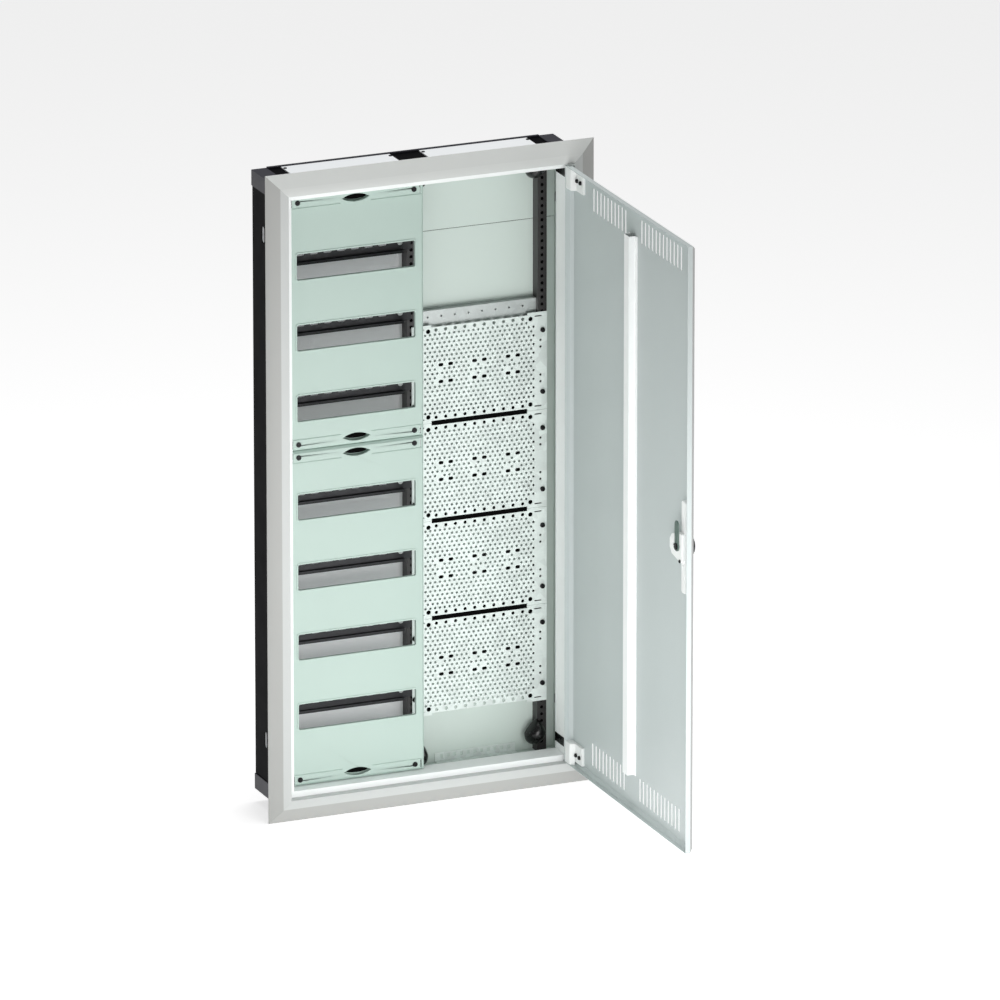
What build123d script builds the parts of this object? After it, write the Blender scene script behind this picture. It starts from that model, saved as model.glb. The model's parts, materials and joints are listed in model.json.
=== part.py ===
from build123d import *
import math
import os

# Flush-mounted distribution cabinet with two fields, built into a wall.
# Frame of the part: X to the right, Y into the wall, Z up, all in millimetres.
# The origin is the centre of the wall box's back face, and the wall surface lies at Y = -BOX_D.
# Depths named "..._DEPTH" are measured from the wall surface, positive into the wall.

# Wall box, folded from sheet steel
BOX_W = 550.0
BOX_H = 1100.0
BOX_D = 120.0
BOX_WALL = 1.5
CORNER_CAP_LEG = 26.0
CORNER_CAP_T = 1.6
CORNER_CAP_FRONT_DEPTH = 6.0

# Cable entries in the roof of the wall box
ENTRY_W = 186.0
ENTRY_L = 62.0
ENTRY_SPACING = 252.0
ENTRY_BACK_DEPTH = 108.0
ENTRY_LAP = 6.0
ENTRY_PLATE_T = 2.0
ENTRY_PLUG_H = 4.0
ENTRY_PLUG_CLEARANCE = 0.3
ENTRY_SCREW_R = 1.6
ENTRY_SCREW_HEAD_R = 3.0
ENTRY_SCREW_HEAD_H = 1.2
ENTRY_SCREW_L = 7.0

# Masonry anchor slots in the side walls
ANCHOR_SLOT_L = 28.0
ANCHOR_SLOT_W = 10.0
ANCHOR_DEPTH = 72.0
ANCHOR_FROM_END = 100.0
ANCHOR_LINER_CLEARANCE = 3.0
ANCHOR_STRAP_W = 16.0
ANCHOR_STRAP_T = 1.5
ANCHOR_STRAP_FOOT = 14.0
ANCHOR_STRAP_REACH = 10.0
ANCHOR_STRAP_DROP = 12.0

# Trim frame around the opening
TRIM_LAP = 25.0
TRIM_SLOPE_W = 24.0
TRIM_FLAT_W = 15.0
TRIM_RISE = 10.0
TRIM_EDGE = 1.2
TRIM_T = 1.5
TRIM_RETURN_DEPTH = 15.0
TRIM_BLOCK_L = 30.0
TRIM_BLOCK_FRONT_DEPTH = 3.0
TRIM_BLOCK_SCREW_R = 1.9

# Inner profiles that the trim frame sits on
JAMB_W = 11.0
JAMB_FRONT_DEPTH = 5.0
JAMB_BACK_DEPTH = 45.0
JAMB_T = 1.2
HINGE_BLOCK_H = 16.0
HINGE_BLOCK_T = 1.0
HINGE_BLOCK_LOW = 14.0

# Sheet lining inside the wall box
LINER_T = 1.0
BACK_PANEL_DEPTH = 105.0
BACK_PANEL_GAP = 0.8
UPPER_PANEL_H = 138.0
FLOOR_RAISE = 4.5
FLOOR_FRONT_DEPTH = 47.0
ROOF_CLEARANCE = 4.0

# Knock-outs in the floor panel
KNOCKOUT_R = 10.0
KNOCKOUT_PITCH = 45.0
KNOCKOUT_COUNT = 10
KNOCKOUT_GROOVE = 0.8
KNOCKOUT_TAB = 4.0

# Vertical mounting rails
RAIL_W = 17.0
RAIL_FACE_DEPTH = 84.0
RAIL_T = 1.5
RAIL_END_GAP = 18.0
RAIL_HOLE_R = 3.0
RAIL_HOLE_PITCH = 12.5
RAIL_CLAMP_W = 42.0
RAIL_CLAMP_MIDDLE_W = 26.0
RAIL_CLAMP_H = 45.0
RAIL_CLAMP_T = 24.0
RAIL_CLAMP_TIP_R = 7.0
RAIL_CLAMP_EYE_R = 2.0
RAIL_CLAMP_CORNER_R = 3.5
RAIL_CLAMP_FRONT_R = 2.5
CLAMP_TOP_LAP_RIGHT = 42.0
CLAMP_TOP_LAP_MIDDLE = 34.0
CLAMP_FOOT_LIFT_RIGHT = 16.0
CLAMP_FOOT_LIFT_MIDDLE = 6.0
CLAMP_POST_CLEARANCE = 7.0

# Cross rail above the mounting plates
CROSS_H = 30.0
CROSS_VISIBLE = 23.0
CROSS_FACE_DEPTH = 91.0
CROSS_T = 1.5
CROSS_HOLE_R = 1.5
CROSS_HOLE_PITCH = 25.0

# Top-hat rails for modular devices
DIN_H = 35.0
DIN_CHANNEL_H = 27.0
DIN_DEEP = 7.5
DIN_T = 1.0
DIN_RAISE = 4.0
DIN_LEFT_INSET = 10.0
DIN_RIGHT_INSET = 17.0
DIN_SLOT_L = 15.0
DIN_SLOT_W = 5.2
DIN_SLOT_PITCH = 25.0
DIN_SEAT_T = 1.5
DIN_SEAT_W = 26.0
DIN_SEAT_H = 30.0
DIN_SCREW_R = 2.4
DIN_SCREW_HEAD_R = 4.4
DIN_SCREW_HEAD_H = 2.0
DIN_SCREW_FROM_END = 5.0

# Covers over the module rows
COVER_GAP = 1.0
COVER_FACE_DEPTH = 25.0
COVER_SKIRT = 12.0
COVER_T = 2.0
COVER_BEVEL = 4.0
COVER_UPPER_SHARE = 3.0 / 7.0
WINDOW_W = 216.0
WINDOW_H = 46.0
WINDOW_LIP_T = 1.5
WINDOW_LIP_H = 4.0
WINDOW_PITCH = 125.0
UPPER_WINDOWS = 3
UPPER_FIRST = 125.0
LOWER_WINDOWS = 4
LOWER_FIRST = 100.0
CREASE_FROM_END = 20.0
CREASE_W = 1.0
CREASE_DEEP = 0.5
GRIP_W = 50.0
GRIP_H = 14.0
GRIP_DEEP = 9.0
GRIP_FROM_END = 13.0
SLIT_W = 2.0
SLIT_H = 14.0
SLIT_FROM_SIDE = 7.0

# Quarter-turn fasteners of the covers, and the posts that take them
FASTENER_FROM_SIDE = 18.0
FASTENER_FROM_END = 11.0
FASTENER_HEAD_R = 4.5
FASTENER_HEAD_H = 1.6
FASTENER_SLOT_W = 1.2
FASTENER_SLOT_DEEP = 0.9
FASTENER_SHANK_R = 2.4
FASTENER_L = 28.0
FASTENER_CLEARANCE = 0.05
FASTENER_HEAD_CHAMFER = 0.4
FASTENER_TIP_CHAMFER = 0.6
POST_SIDE = 12.0
POST_FRONT_GAP = 0.5
POST_FOOT_H = 6.0
POST_BORE_CLEARANCE = 0.35
POST_BORE_EXTRA = 2.0

# Perforated mounting plates
PLATE_COUNT = 4
PLATE_PITCH = 175.0
PLATE_FIRST = 275.0
PLATE_T = 1.5
PLATE_NOTCH_W = 177.0
PLATE_NOTCH_H = 4.0
PLATE_JOINT = 0.4
PERF_R = 2.2
PERF_PITCH = 8.9
PERF_ROW = 7.75
PERF_COLS = 23
PERF_ROWS = 19
PERF_WEB = 1.0
PLATE_BIG_R = 4.0
PLATE_BIG_X = 94.5
PLATE_BIG_FROM_END = 11.0
PLATE_DOT_R = 3.0
PLATE_DOT_PITCH = 17.8
PLATE_DOTS = 10
PLATE_DOT_FROM_END = 9.5
PAIR_SLOT_L = 9.0
PAIR_SLOT_W = 6.0
PAIR_SPACING = 18.0
PAIR_PITCH = 62.0
PAIR_ROW = 30.0
FLANGE_SLIT_W = 2.2
FLANGE_SLIT_L = 13.2
FLANGE_SLIT_X = 108.6
FLANGE_SLIT_FROM_END = 7.0
FLANGE_HOLE_R = 2.2
FLANGE_HOLE_X = 113.0
FLANGE_HOLE_ZS = (25.0, 37.0)
PLATE_SCREW_FROM_END = 32.5
PLATE_SCREW_R = 2.4
PLATE_SCREW_HEAD_R = 4.2
PLATE_SCREW_HEAD_H = 2.2

# Cable tie strip at the foot of the right-hand field
TIE_STRIP_W = 150.0
TIE_STRIP_H = 16.0
TIE_STRIP_LEG = 12.0
TIE_STRIP_T = 1.5
TIE_SLOT_PITCH = 12.5
TIE_SLOT_COUNT = 11
TIE_SLOT_W = 5.0
TIE_SLOT_H = 6.0

# Door leaf, a folded tray with a bevelled front edge
DOOR_SIDE_GAP = 2.0
DOOR_END_GAP = 2.5
DOOR_DEEP = 15.0
DOOR_PROUD = 8.0
DOOR_T = 1.2
DOOR_BEVEL = 6.0
DOOR_OPEN_DEG = 90.0
VENT_L = 42.0
VENT_W = 5.0
VENT_PITCH = 15.0
VENT_FROM_END = 18.0
VENT_FROM_MIDDLE = 34.0
VENTS_FREE_SIDE = 12
VENTS_HINGE_SIDE = 10

# Stiffening hat profile on the inside of the door
HAT_W = 20.0
HAT_H = 13.0
HAT_FLANGE = 8.0
HAT_T = 1.2
HAT_FROM_TOP = 52.0
HAT_FROM_FOOT = 60.0

# Hinges: a pin in a lug on the trim frame turns in a bracket inside the door
HINGE_FROM_SIDE = 5.0
HINGE_FROM_FACE = 6.0
PIN_R = 2.0
PIN_RUNNING = 0.05
PIN_SHEET_CLEARANCE = 0.4
PIN_ENGAGE = 26.0
LUG_T = 2.0
LUG_W = 13.0
LUG_FRONT = 4.0
HINGE_BRACKET_L = 54.0
HINGE_BRACKET_H = 38.0
HINGE_BRACKET_THIN = 5.0
HINGE_BRACKET_HEAD_L = 20.0
HINGE_BRACKET_FIT = 0.3
HINGE_BRACKET_BACK_GAP = 0.5
HINGE_BRACKET_STEP = 6.0
BRACKET_SCREW_R = 1.9
BRACKET_SCREW_HEAD_R = 3.6
BRACKET_SCREW_HEAD_H = 1.6
BRACKET_SCREW_SPOTS = (9.0, 23.5)

# Lock in the middle of the free edge
LOCK_FROM_EDGE = 38.0
LOCK_BAR_W = 16.0
LOCK_BAR_HALF = 81.0
LOCK_BAR_T = 8.0
LOCK_BAR_FROM_EDGE = 28.0
LOCK_BODY_W = 52.0
LOCK_BODY_H = 50.0
LOCK_CORNER_R = 3.0
LOCK_STEP = 8.0
LOCK_EYE_R = 3.5
LOCK_EYE_FROM_EDGE = 58.0
LOCK_DOT_R = 2.0
LOCK_DOT_DROP = 6.0
SPINDLE_R = 5.0
SPINDLE_RUNNING = 0.06
KNOB_R = 20.0
KNOB_T = 7.0
KNOB_DISH_R = 15.0
KNOB_DISH_DEEP = 3.5
KNOB_BAR_W = 7.0
KNOB_GAP = 0.3
KNOB_CHAMFER = 1.5
CAM_W = 14.0
CAM_T = 2.5
CAM_REACH = 45.0
CAM_GAP = 0.4
CAM_SLOT_H = 34.0
CAM_SLOT_CLEARANCE = 1.5
CAM_HUB_R = 8.5
CAM_SCREW_R = 6.0
CAM_SCREW_H = 2.0

# Values worked out from the sizes above
WALL_Y = -BOX_D
TRIM_W = TRIM_SLOPE_W + TRIM_FLAT_W
OUTER_W = BOX_W + 2 * TRIM_LAP
OUTER_H = BOX_H + 2 * TRIM_LAP
OPEN_W = OUTER_W - 2 * TRIM_W
OPEN_H = OUTER_H - 2 * TRIM_W
INNER_W = OPEN_W - 2 * JAMB_W
INNER_H = OPEN_H - 2 * JAMB_W
FIELD_W = INNER_W / 2
INNER_TOP = INNER_H / 2
BOX_IN_X = BOX_W / 2 - BOX_WALL
BOX_IN_Z = BOX_H / 2 - BOX_WALL
LINED_X = BOX_IN_X - LINER_T
FLOOR_Z = -BOX_IN_Z + FLOOR_RAISE + LINER_T
BACK_Y = WALL_Y + BACK_PANEL_DEPTH
RAIL_Y = WALL_Y + RAIL_FACE_DEPTH
RAIL_XS = (-FIELD_W, -RAIL_W / 2, FIELD_W - RAIL_W)
RAIL_TOP = BOX_IN_Z - RAIL_END_GAP
RAIL_FOOT = FLOOR_Z
COVER_Y = WALL_Y + COVER_FACE_DEPTH
SPLIT_Z = INNER_TOP - INNER_H * COVER_UPPER_SHARE
COVER_X0 = -FIELD_W + COVER_GAP
COVER_X1 = -COVER_GAP
COVER_MID_X = (COVER_X0 + COVER_X1) / 2
PLATE_MID_X = FIELD_W / 2
PLATE_Y = RAIL_Y - PLATE_T
DIN_Y = RAIL_Y - DIN_SEAT_T - DIN_DEEP
UPPER_WINDOW_ZS = [INNER_TOP - UPPER_FIRST - i * WINDOW_PITCH for i in range(UPPER_WINDOWS)]
LOWER_WINDOW_ZS = [SPLIT_Z - LOWER_FIRST - i * WINDOW_PITCH for i in range(LOWER_WINDOWS)]
DOOR_W = OPEN_W - 2 * DOOR_SIDE_GAP
DOOR_H = OPEN_H - 2 * DOOR_END_GAP
TRIM_FACE_Y = WALL_Y - TRIM_RISE
DOOR_FACE_Y = TRIM_FACE_Y - DOOR_PROUD
DOOR_BACK_Y = DOOR_FACE_Y + DOOR_DEEP
DOOR_SKIN_Y = DOOR_FACE_Y + DOOR_T
HINGE_X = DOOR_W / 2 - HINGE_FROM_SIDE
HINGE_Y = DOOR_FACE_Y + HINGE_FROM_FACE
FREE_X = -DOOR_W / 2
LOCK_X = FREE_X + LOCK_FROM_EDGE
LOCK_BODY_T = DOOR_DEEP - DOOR_T
CAM_Y = DOOR_BACK_Y + CAM_GAP


def block(x0, x1, y0, y1, z0, z1):
    """A box between two corners."""
    centre = Pos((x0 + x1) / 2, (y0 + y1) / 2, (z0 + z1) / 2)
    return centre * Box(abs(x1 - x0), abs(y1 - y0), abs(z1 - z0))


def rod_y(x, z, r, y0, y1):
    """A round bar along Y."""
    return Pos(x, (y0 + y1) / 2, z) * Rot(90, 0, 0) * Cylinder(r, abs(y1 - y0))


def rod_z(x, y, r, z0, z1):
    """A round bar along Z."""
    return Pos(x, y, (z0 + z1) / 2) * Cylinder(r, abs(z1 - z0))


def rod_x(y, z, r, x0, x1):
    """A round bar along X."""
    return Pos((x0 + x1) / 2, y, z) * Rot(0, 90, 0) * Cylinder(r, abs(x1 - x0))


def prism_z(points, z0, z1):
    """An outline of (x, y) points raised from z0 to z1."""
    outline = Polyline(*[(x, y, z0) for x, y in points], close=True)
    return extrude(make_face(outline), z1 - z0, dir=(0, 0, 1))


def prism_x(points, x0, x1):
    """An outline of (y, z) points drawn out from x0 to x1."""
    outline = Polyline(*[(x0, y, z) for y, z in points], close=True)
    return extrude(make_face(outline), x1 - x0, dir=(1, 0, 0))


def prism_y(points, y0, y1):
    """An outline of (x, z) points drawn out from y0 to y1."""
    outline = Polyline(*[(x, y0, z) for x, z in points], close=True)
    return extrude(make_face(outline), y1 - y0, dir=(0, 1, 0))


def obround_y(x, z, length, width, y0, y1, upright=False):
    """A round-ended slot tool along Y, lying along X or standing along Z."""
    straight = (length - width) / 2
    dx, dz = (0, straight) if upright else (straight, 0)
    half_x = dx or width / 2
    half_z = dz or width / 2
    middle = block(x - half_x, x + half_x, y0, y1, z - half_z, z + half_z)
    return middle + rod_y(x - dx, z - dz, width / 2, y0, y1) + rod_y(x + dx, z + dz, width / 2, y0, y1)


def group(shapes):
    """Several separate solids kept together in one file."""
    solids = [solid for shape in shapes for solid in shape.solids()]
    return Compound(children=solids)


def make_wall_box():
    """Open-fronted tub with two cable entries in its roof and anchor slots in its sides."""
    outer = block(-BOX_W / 2, BOX_W / 2, WALL_Y, 0, -BOX_H / 2, BOX_H / 2)
    hollow = block(-BOX_IN_X, BOX_IN_X, WALL_Y - 1, -BOX_WALL, -BOX_IN_Z, BOX_IN_Z)
    tub = outer - hollow
    back = WALL_Y + ENTRY_BACK_DEPTH
    for x in (-ENTRY_SPACING / 2, ENTRY_SPACING / 2):
        tub -= block(x - ENTRY_W / 2, x + ENTRY_W / 2, back - ENTRY_L, back, BOX_IN_Z - 1, BOX_H / 2 + 1)
        for sx in (-1, 1):
            for sy in (-1, 1):
                hole_x = x + sx * (ENTRY_W / 2 + ENTRY_LAP / 2)
                hole_y = back - ENTRY_L / 2 + sy * (ENTRY_L / 2 - ENTRY_LAP)
                tub -= rod_z(hole_x, hole_y, ENTRY_SCREW_R, BOX_IN_Z - 1, BOX_H / 2 + 1)
    for side in (-1, 1):
        for z in anchor_heights():
            tub -= anchor_slot(side, z, 0.0)
    return tub


def anchor_heights():
    """Heights of the anchor slots, near the top and the foot of the box."""
    return (BOX_H / 2 - ANCHOR_FROM_END, -BOX_H / 2 + ANCHOR_FROM_END)


def anchor_slot(side, z, clearance):
    """Round-ended slot tool through one side of the box."""
    y = WALL_Y + ANCHOR_DEPTH
    r = ANCHOR_SLOT_W / 2 + clearance
    half = (ANCHOR_SLOT_L - ANCHOR_SLOT_W) / 2
    x0 = side * (LINED_X - 1)
    x1 = side * (BOX_W / 2 + 1)
    tool = block(min(x0, x1), max(x0, x1), y - r, y + r, z - half, z + half)
    tool += rod_x(y, z + half, r, x0, x1)
    tool += rod_x(y, z - half, r, x0, x1)
    return tool


def make_corner_caps():
    """Angle pieces that guard the box's long corners at the top and the foot."""
    caps = []
    y0 = WALL_Y + CORNER_CAP_FRONT_DEPTH
    for sx in (-1, 1):
        for sz in (-1, 1):
            x = sx * BOX_W / 2
            z = sz * BOX_H / 2
            outer = block(x - sx * CORNER_CAP_LEG, x + sx * CORNER_CAP_T, y0, 0,
                          z - sz * CORNER_CAP_LEG, z + sz * CORNER_CAP_T)
            inside = block(x - sx * (CORNER_CAP_LEG + 1), x, y0 - 1, 1, z - sz * (CORNER_CAP_LEG + 1), z)
            caps.append(outer - inside)
    return group(caps)


def make_entry_plates():
    """Closing plates of the two cable entries."""
    return group([make_entry_plate(x) for x in (-ENTRY_SPACING / 2, ENTRY_SPACING / 2)])


def make_entry_plate(x):
    """Closing plate of one cable entry, with a plug that centres it in the hole."""
    back = WALL_Y + ENTRY_BACK_DEPTH
    top = BOX_H / 2
    plate = block(x - ENTRY_W / 2 - ENTRY_LAP, x + ENTRY_W / 2 + ENTRY_LAP, back - ENTRY_L - ENTRY_LAP,
                  back + ENTRY_LAP, top, top + ENTRY_PLATE_T)
    gap = ENTRY_PLUG_CLEARANCE
    plug = block(x - ENTRY_W / 2 + gap, x + ENTRY_W / 2 - gap, back - ENTRY_L + gap, back - gap,
                 top - ENTRY_PLUG_H, top)
    plate += plug
    for hole_x, hole_y in entry_screw_places(x):
        plate -= rod_z(hole_x, hole_y, ENTRY_SCREW_R, top - 1, top + ENTRY_PLATE_T + 1)
    return plate


def entry_screw_places(x):
    """The four screws of one closing plate."""
    middle = WALL_Y + ENTRY_BACK_DEPTH - ENTRY_L / 2
    places = []
    for sx in (-1, 1):
        for sy in (-1, 1):
            places.append((x + sx * (ENTRY_W / 2 + ENTRY_LAP / 2), middle + sy * (ENTRY_L / 2 - ENTRY_LAP)))
    return places


def make_entry_screws():
    """Pan-head screws of both closing plates."""
    screws = []
    seat = BOX_H / 2 + ENTRY_PLATE_T
    for x in (-ENTRY_SPACING / 2, ENTRY_SPACING / 2):
        for sx, sy in entry_screw_places(x):
            shank = rod_z(sx, sy, ENTRY_SCREW_R, seat - ENTRY_SCREW_L, seat)
            head = rod_z(sx, sy, ENTRY_SCREW_HEAD_R, seat, seat + ENTRY_SCREW_HEAD_H)
            screws.append(shank + head)
    return group(screws)


def make_masonry_anchors():
    """Bent straps inside the box that swing out through the anchor slots into the wall."""
    straps = []
    y = WALL_Y + ANCHOR_DEPTH
    half = ANCHOR_STRAP_W / 2
    t = ANCHOR_STRAP_T
    for side in (-1, 1):
        for z in anchor_heights():
            foot_z = z + ANCHOR_SLOT_L / 2 + ANCHOR_LINER_CLEARANCE
            face = side * LINED_X
            foot = block(face - side * t, face, y - half, y + half, foot_z, foot_z + ANCHOR_STRAP_FOOT)
            bend_z = foot_z - ANCHOR_STRAP_REACH
            tip_z = bend_z - ANCHOR_STRAP_DROP
            out_x = face - side * ANCHOR_STRAP_REACH
            points = [(face, foot_z), (face, foot_z + t * 1.4), (out_x, bend_z + t * 1.4), (out_x, tip_z),
                      (out_x + side * t, tip_z), (out_x + side * t, bend_z + t * 0.4)]
            straps.append(foot + prism_y(points, y - half, y + half))
    return group(straps)


def trim_section():
    """Outline of the trim sheet: distance inwards from the outer edge, and Y."""
    run = TRIM_SLOPE_W
    rise = TRIM_RISE
    lean = math.atan2(rise - TRIM_EDGE, run)
    drop = TRIM_T / math.cos(lean)
    inner = TRIM_W - TRIM_T
    under = WALL_Y - rise + TRIM_T
    slope = (rise - TRIM_EDGE) / run
    meet = (drop - TRIM_T) / slope
    start = (drop - TRIM_EDGE) / slope
    return [(0, WALL_Y), (0, WALL_Y - TRIM_EDGE), (run, WALL_Y - rise), (TRIM_W, WALL_Y - rise),
            (TRIM_W, WALL_Y + TRIM_RETURN_DEPTH), (inner, WALL_Y + TRIM_RETURN_DEPTH), (inner, under),
            (run + meet, under), (start, WALL_Y)]


def make_trim_rail(side):
    """One mitred side of the trim frame."""
    half_w = OUTER_W / 2
    half_h = OUTER_H / 2
    deep = TRIM_W + 1
    y0 = WALL_Y - TRIM_RISE - 1
    y1 = WALL_Y + TRIM_RETURN_DEPTH + 1
    if side in ("top", "bottom"):
        s = 1 if side == "top" else -1
        bar = prism_x([(y, s * (half_h - u)) for u, y in trim_section()], -half_w, half_w)
        mitre = prism_y([(-half_w, s * half_h), (half_w, s * half_h), (half_w - deep, s * (half_h - deep)),
                         (-half_w + deep, s * (half_h - deep))], y0, y1)
        return bar & mitre
    s = 1 if side == "right" else -1
    bar = prism_z([(s * (half_w - u), y) for u, y in trim_section()], -half_h, half_h)
    mitre = prism_y([(s * half_w, -half_h), (s * half_w, half_h), (s * (half_w - deep), half_h - deep),
                     (s * (half_w - deep), -half_h + deep)], y0, y1)
    rail = bar & mitre
    if side == "left":
        gap = CAM_SLOT_CLEARANCE
        rail -= block(-OPEN_W / 2 - TRIM_T - 1, -OPEN_W / 2 + 1, CAM_Y - gap, CAM_Y + CAM_T + gap,
                      -CAM_W / 2 - gap, CAM_SLOT_H)
    return rail


def make_trim_blocks():
    """Blocks that tie the trim's return to the side walls of the box, one near each corner."""
    blocks = []
    y0 = WALL_Y + TRIM_BLOCK_FRONT_DEPTH
    y1 = WALL_Y + TRIM_RETURN_DEPTH
    outer = BOX_IN_X
    inner = OPEN_W / 2 + TRIM_T
    z_mid = OPEN_H / 2 - TRIM_BLOCK_L
    for sx in (-1, 1):
        for sz in (-1, 1):
            low = sz * z_mid - TRIM_BLOCK_L / 2
            piece = block(sx * inner, sx * outer, y0, y1, low, low + TRIM_BLOCK_L)
            piece -= rod_y(sx * (inner + outer) / 2, sz * z_mid, TRIM_BLOCK_SCREW_R, y0 - 1, y1 + 1)
            blocks.append(piece)
    return group(blocks)


def make_upright_jamb(side):
    """Hollow upright profile just inside the trim frame."""
    s = 1 if side == "right" else -1
    x_out = s * OPEN_W / 2
    x_in = s * INNER_W / 2
    y0 = WALL_Y + JAMB_FRONT_DEPTH
    y1 = WALL_Y + JAMB_BACK_DEPTH
    half = INNER_H / 2
    tube = block(x_in, x_out, y0, y1, -half, half)
    tube -= block(x_in + s * JAMB_T, x_out - s * JAMB_T, y0 + JAMB_T, y1 - JAMB_T, -half - 1, half + 1)
    return tube


def make_cross_jamb(side):
    """Hollow head or sill profile just inside the trim frame."""
    s = 1 if side == "head" else -1
    z_out = s * OPEN_H / 2
    z_in = s * INNER_H / 2
    y0 = WALL_Y + JAMB_FRONT_DEPTH
    y1 = WALL_Y + JAMB_BACK_DEPTH
    half = OPEN_W / 2
    tube = block(-half, half, y0, y1, z_in, z_out)
    tube -= block(-half - 1, half + 1, y0 + JAMB_T, y1 - JAMB_T, z_in + s * JAMB_T, z_out - s * JAMB_T)
    return tube


def make_hinge_blocks():
    """Plastic sleeves on the inner side of the right-hand jamb, near the two hinges."""
    sleeves = []
    x = INNER_W / 2
    y0 = WALL_Y + JAMB_FRONT_DEPTH
    y1 = WALL_Y + JAMB_BACK_DEPTH
    for low in (INNER_TOP - HINGE_BLOCK_H, -INNER_TOP + HINGE_BLOCK_LOW):
        sleeves.append(block(x - HINGE_BLOCK_T, x, y0 + 1, y1 - 1, low, low + HINGE_BLOCK_H))
    return group(sleeves)


def make_back_panel(z0, z1):
    """Lining sheet at the back, with folded sides that stand on the box's back wall."""
    sheet = block(-LINED_X, LINED_X, BACK_Y, BACK_Y + LINER_T, z0, z1)
    for s in (-1, 1):
        sheet += block(s * (LINED_X - LINER_T), s * LINED_X, BACK_Y, -BOX_WALL, z0, z1)
    return sheet


def make_side_panel(s):
    """Lining sheet on one side wall, cut away round the anchor slots."""
    y0 = WALL_Y + TRIM_RETURN_DEPTH + 1
    sheet = block(s * LINED_X, s * BOX_IN_X, y0, -BOX_WALL, -BOX_IN_Z, BOX_IN_Z - ROOF_CLEARANCE)
    for z in anchor_heights():
        sheet -= anchor_slot(s, z, ANCHOR_LINER_CLEARANCE)
    return sheet


def make_floor_panel():
    """Raised floor sheet with a row of knock-outs, folded down at its front and back."""
    y0 = WALL_Y + FLOOR_FRONT_DEPTH
    y1 = BACK_Y - BACK_PANEL_GAP
    foot = -BOX_IN_Z
    sheet = block(-LINED_X, LINED_X, y0, y1, FLOOR_Z - LINER_T, FLOOR_Z)
    for y in (y0, y1 - LINER_T):
        sheet += block(-LINED_X, LINED_X, y, y + LINER_T, foot, FLOOR_Z)
    middle = (y0 + y1) / 2
    for i in range(KNOCKOUT_COUNT):
        x = (i - (KNOCKOUT_COUNT - 1) / 2) * KNOCKOUT_PITCH
        ring = rod_z(x, middle, KNOCKOUT_R, FLOOR_Z - LINER_T - 1, FLOOR_Z + 1)
        ring -= rod_z(x, middle, KNOCKOUT_R - KNOCKOUT_GROOVE, FLOOR_Z - LINER_T - 2, FLOOR_Z + 2)
        ring -= block(x - KNOCKOUT_TAB / 2, x + KNOCKOUT_TAB / 2, middle - KNOCKOUT_R - 1,
                      middle + KNOCKOUT_R + 1, FLOOR_Z - LINER_T - 2, FLOOR_Z + 2)
        sheet -= ring
    return sheet


def make_mounting_rail(x0):
    """Perforated upright of box section, open at the back, standing on the back panel."""
    z0 = RAIL_FOOT
    z1 = RAIL_TOP
    t = RAIL_T
    rail = block(x0, x0 + RAIL_W, RAIL_Y, BACK_Y, z0, z1)
    rail -= block(x0 + t, x0 + RAIL_W - t, RAIL_Y + t, BACK_Y + 1, z0 - 1, z1 + 1)
    count = int((z1 - z0) / RAIL_HOLE_PITCH) - 1
    start = (z0 + z1) / 2 - (count - 1) * RAIL_HOLE_PITCH / 2
    holes = []
    for i in range(count):
        z = start + i * RAIL_HOLE_PITCH
        holes.append(rod_y(x0 + RAIL_W / 2, z, RAIL_HOLE_R, RAIL_Y - 1, RAIL_Y + t + 1))
    return rail - holes


def clamp_profile(w, sx):
    """Drop-shaped outline of a rail clamp, wide at its upper end, before it is placed."""
    h = RAIL_CLAMP_H
    r = RAIL_CLAMP_TIP_R
    return [(sx * (-r), h - r), (sx * (-r * 0.2), h), (sx * (w * 0.3), h - r * 0.6), (sx * (w - r), h * 0.55),
            (sx * (w - r * 0.7), h * 0.2), (sx * (w * 0.6), 0), (sx * (w * 0.22), h * 0.04),
            (sx * (-r * 0.3), h * 0.3)]


def make_rail_clamp(x, z, w, sx):
    """Plastic clamp that holds the end of an upright rail, with a rounded body and an eye."""
    y0 = RAIL_Y - RAIL_CLAMP_T
    body = prism_y([(x + px, z + pz) for px, pz in clamp_profile(w, sx)], y0, RAIL_Y)
    body = fillet(body.edges().filter_by(Axis.Y), RAIL_CLAMP_CORNER_R)
    body = fillet(body.faces().sort_by(Axis.Y)[0].edges(), RAIL_CLAMP_FRONT_R)
    eye_x = x + sx * w * 0.32
    eye_z = z + RAIL_CLAMP_H * 0.6
    return body - rod_y(eye_x, eye_z, RAIL_CLAMP_EYE_R, y0 - 1, y0 + RAIL_CLAMP_T / 2)


def make_rail_clamps():
    """The six clamps at the ends of the uprights, clear of the posts of the covers."""
    left_x = RAIL_XS[0] + RAIL_CLAMP_TIP_R
    middle_x = RAIL_XS[1] + RAIL_W / 2 + RAIL_CLAMP_TIP_R
    right_x = RAIL_XS[2] + RAIL_W - RAIL_CLAMP_TIP_R
    post_reach = COVER_GAP + FASTENER_FROM_END + POST_SIDE / 2 + CLAMP_POST_CLEARANCE
    side_w = RAIL_CLAMP_W
    middle_w = RAIL_CLAMP_MIDDLE_W
    places = [(left_x, INNER_TOP - post_reach - RAIL_CLAMP_H, side_w, 1),
              (left_x, -INNER_TOP + post_reach, side_w, 1),
              (middle_x, RAIL_TOP - CLAMP_TOP_LAP_MIDDLE, middle_w, 1),
              (middle_x, FLOOR_Z + CLAMP_FOOT_LIFT_MIDDLE, middle_w, 1),
              (right_x, RAIL_TOP - CLAMP_TOP_LAP_RIGHT, side_w, -1),
              (right_x, FLOOR_Z + CLAMP_FOOT_LIFT_RIGHT, side_w, -1)]
    return group([make_rail_clamp(x, z, w, sx) for x, z, w, sx in places])


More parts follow.
